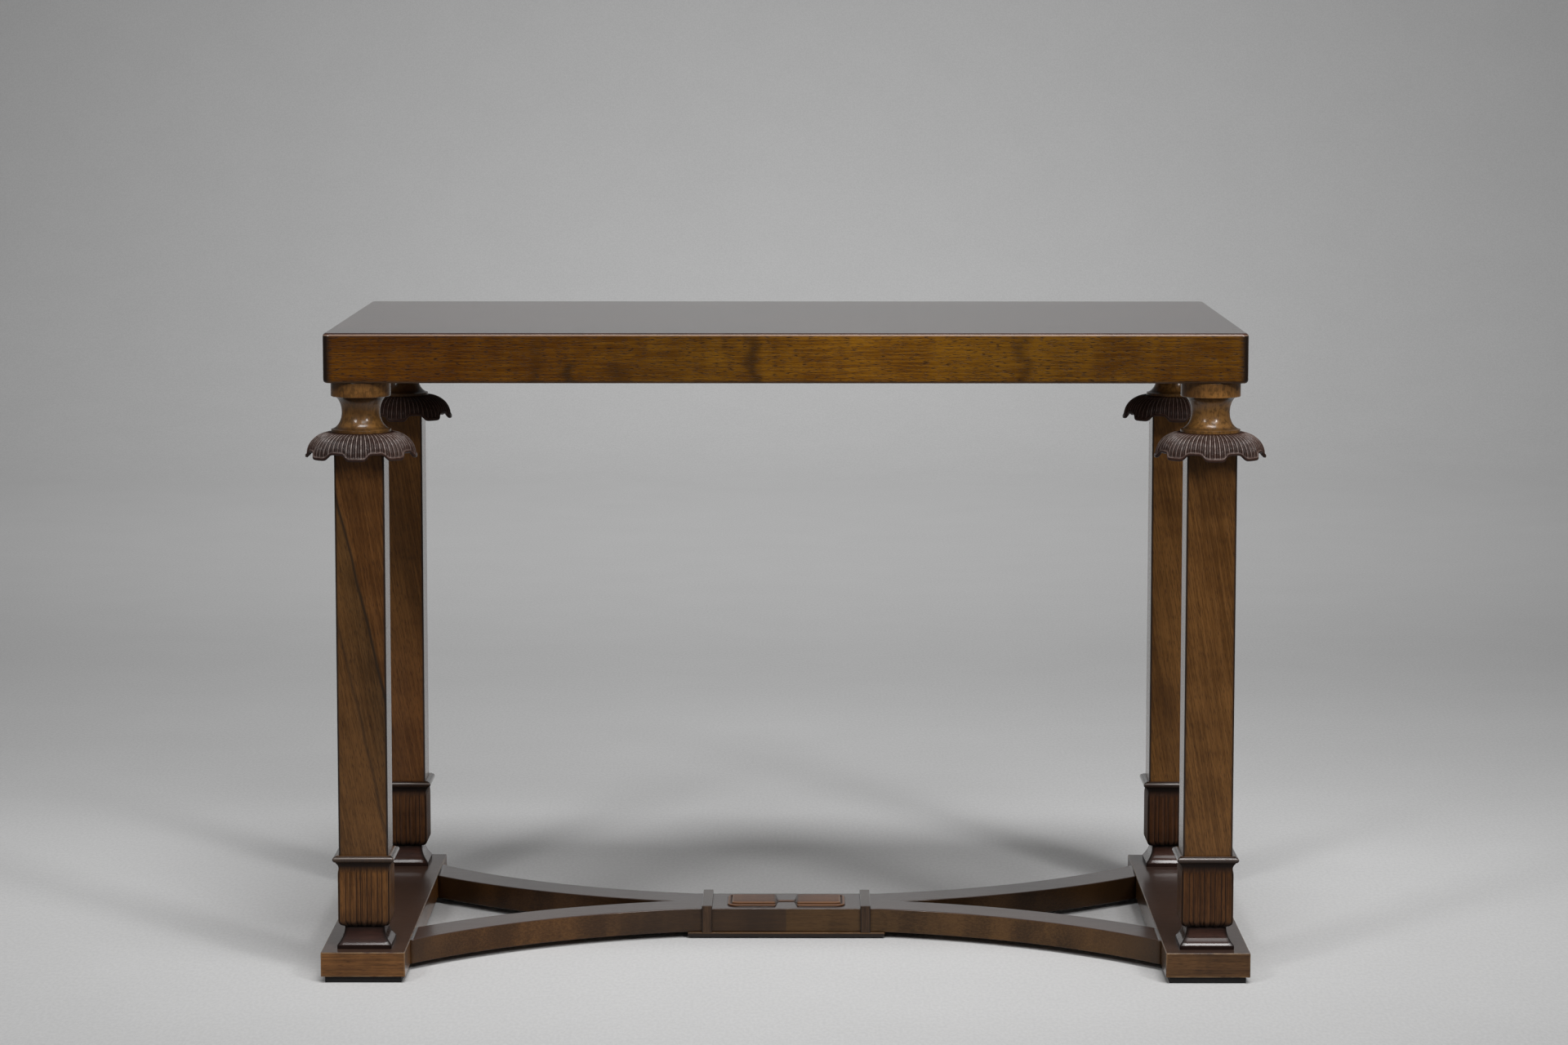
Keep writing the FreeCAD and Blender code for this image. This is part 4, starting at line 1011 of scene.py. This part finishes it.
def finish_nodes():
    """Materials of the nodes that are shown as they are."""
    wanted = {
        "top_veneer": "top_face", "underside_veneer": "underside", "top_core": "core",
        "front_lipping": "lipping", "back_lipping": "lipping",
        "left_lipping": "lipping_end", "right_lipping": "lipping_end",
        "left_runner": "rail", "right_runner": "rail",
        "left_runner_sole": "sole", "right_runner_sole": "sole",
        "tie_plate": "plate", "leg_screws": "screw", "tie_plate_screws": "screw",
    }
    wanted.update({f"{corner}_leg": "leg" for corner in CORNERS})
    for node, finish in wanted.items():
        give(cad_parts[node], finish)


# Studio
def make_floor():
    """Pale studio sweep: a flat floor that turns up into a wall far behind, one profile run along X."""
    wall_y, bend, tall, reach = 7.0, 2.5, 9.0, 60.0
    sweep = arc((wall_y - bend, bend), bend, -90, 0, 24)
    profile = np.concatenate([[(-reach, 0.0)], sweep, [(wall_y, tall)]])
    points = np.stack([np.insert(profile, 0, x, axis=1) for x in (reach, -reach)], axis=1)
    index = np.arange(points[..., 0].size).reshape(points.shape[:2])
    quads = np.stack([index[:-1, 0], index[1:, 0], index[1:, 1], index[:-1, 1]], axis=-1)
    floor = make_object("studio_floor", points, quads.tolist(), np.ones(len(quads), bool), {})
    paint = Finish("floor_paint")
    mottle = paint.noise(paint.x * 7, paint.y * 7, paint.z * 7, 4.0)
    grain = paint.noise(paint.x * 300, paint.y * 120, paint.z * 300, 2.0).step(0.25, 0.75)
    tone = 0.4 * mottle + 0.6 * grain
    paint.set(Base_Color=tone.mix(colour(0.67, 0.67, 0.67), colour(0.77, 0.77, 0.77)), Roughness=0.75)
    finishes["floor"] = paint
    give(floor, "floor")


def make_lamp(name, spot, target, size, power, beam):
    """Rectangular soft light at a spot, turned to a target, with a grid that narrows its beam to an angle."""
    lamp = bpy.data.lights.new(name, "AREA")
    lamp.shape = "RECTANGLE"
    lamp.size, lamp.size_y = size
    lamp.energy = power
    lamp.spread = math.radians(beam)
    thing = bpy.data.objects.new(name, lamp)
    bpy.context.scene.collection.objects.link(thing)
    aim = np.array(target, float) - np.array(spot, float)
    flat = math.hypot(aim[0], aim[1])
    thing.location = spot
    thing.rotation_euler = (math.atan2(flat, -aim[2]), 0, math.atan2(-aim[0], aim[1]))


def make_studio():
    """Dim grey surround, a wide light above the front, one over the sweep, and three boxes by the camera.

    The two small boxes make the bright dots on the capitals' necks.
    """
    world = bpy.data.worlds.new("surround")
    bpy.context.scene.world = world
    world.use_nodes = True
    back = world.node_tree.nodes["Background"]
    back.inputs["Color"].default_value = colour(0.12, 0.12, 0.12)
    back.inputs["Strength"].default_value = 1.0
    make_lamp("key", spot=(0.5, -2.07, 5.42), target=(0, 0.38, 0.3), size=(3.06, 1.56), power=20.5, beam=55)
    make_lamp("over_sweep", spot=(0, 0.5, 5.3), target=(0, 7.0, -1.46), size=(1.6, 0.8), power=29, beam=62)
    make_lamp("right_box", spot=(1.18, -3.12, 3.25), target=(0, 0.3, 0.3), size=(2.2, 1.3), power=2.7,
              beam=40)
    dots = {"target": (0, 0, 0.4), "size": (0.55, 0.75), "beam": 40}
    make_lamp("right_reflector", spot=(2.15, -3.1, 2.45), power=2.3, **dots)
    make_lamp("left_reflector", spot=(-1.63, -2.65, 2.3), power=1.5, **dots)


def make_camera():
    """Camera at the photograph's place, from a fit of the table's corners. It looks down by the tilt."""
    tilt, turn = 0.11591, 0.00439
    lens = bpy.data.cameras.new("camera")
    lens.sensor_width = 36.0
    lens.lens = 99.19
    lens.clip_end = 2000.0
    camera = bpy.data.objects.new("camera", lens)
    camera.location = (0.01736, -4.52421, 0.96416)
    camera.rotation_euler = (math.pi / 2 - tilt, 0, turn)
    bpy.context.scene.collection.objects.link(camera)
    bpy.context.scene.camera = camera


bpy.context.scene.view_settings.view_transform = "Standard"
make_finishes()
make_capitals()
make_flower_collars()
make_reeded_blocks()
make_plinths()
make_arms()
make_straps()
make_ornament()
finish_nodes()
make_floor()
make_studio()
make_camera()
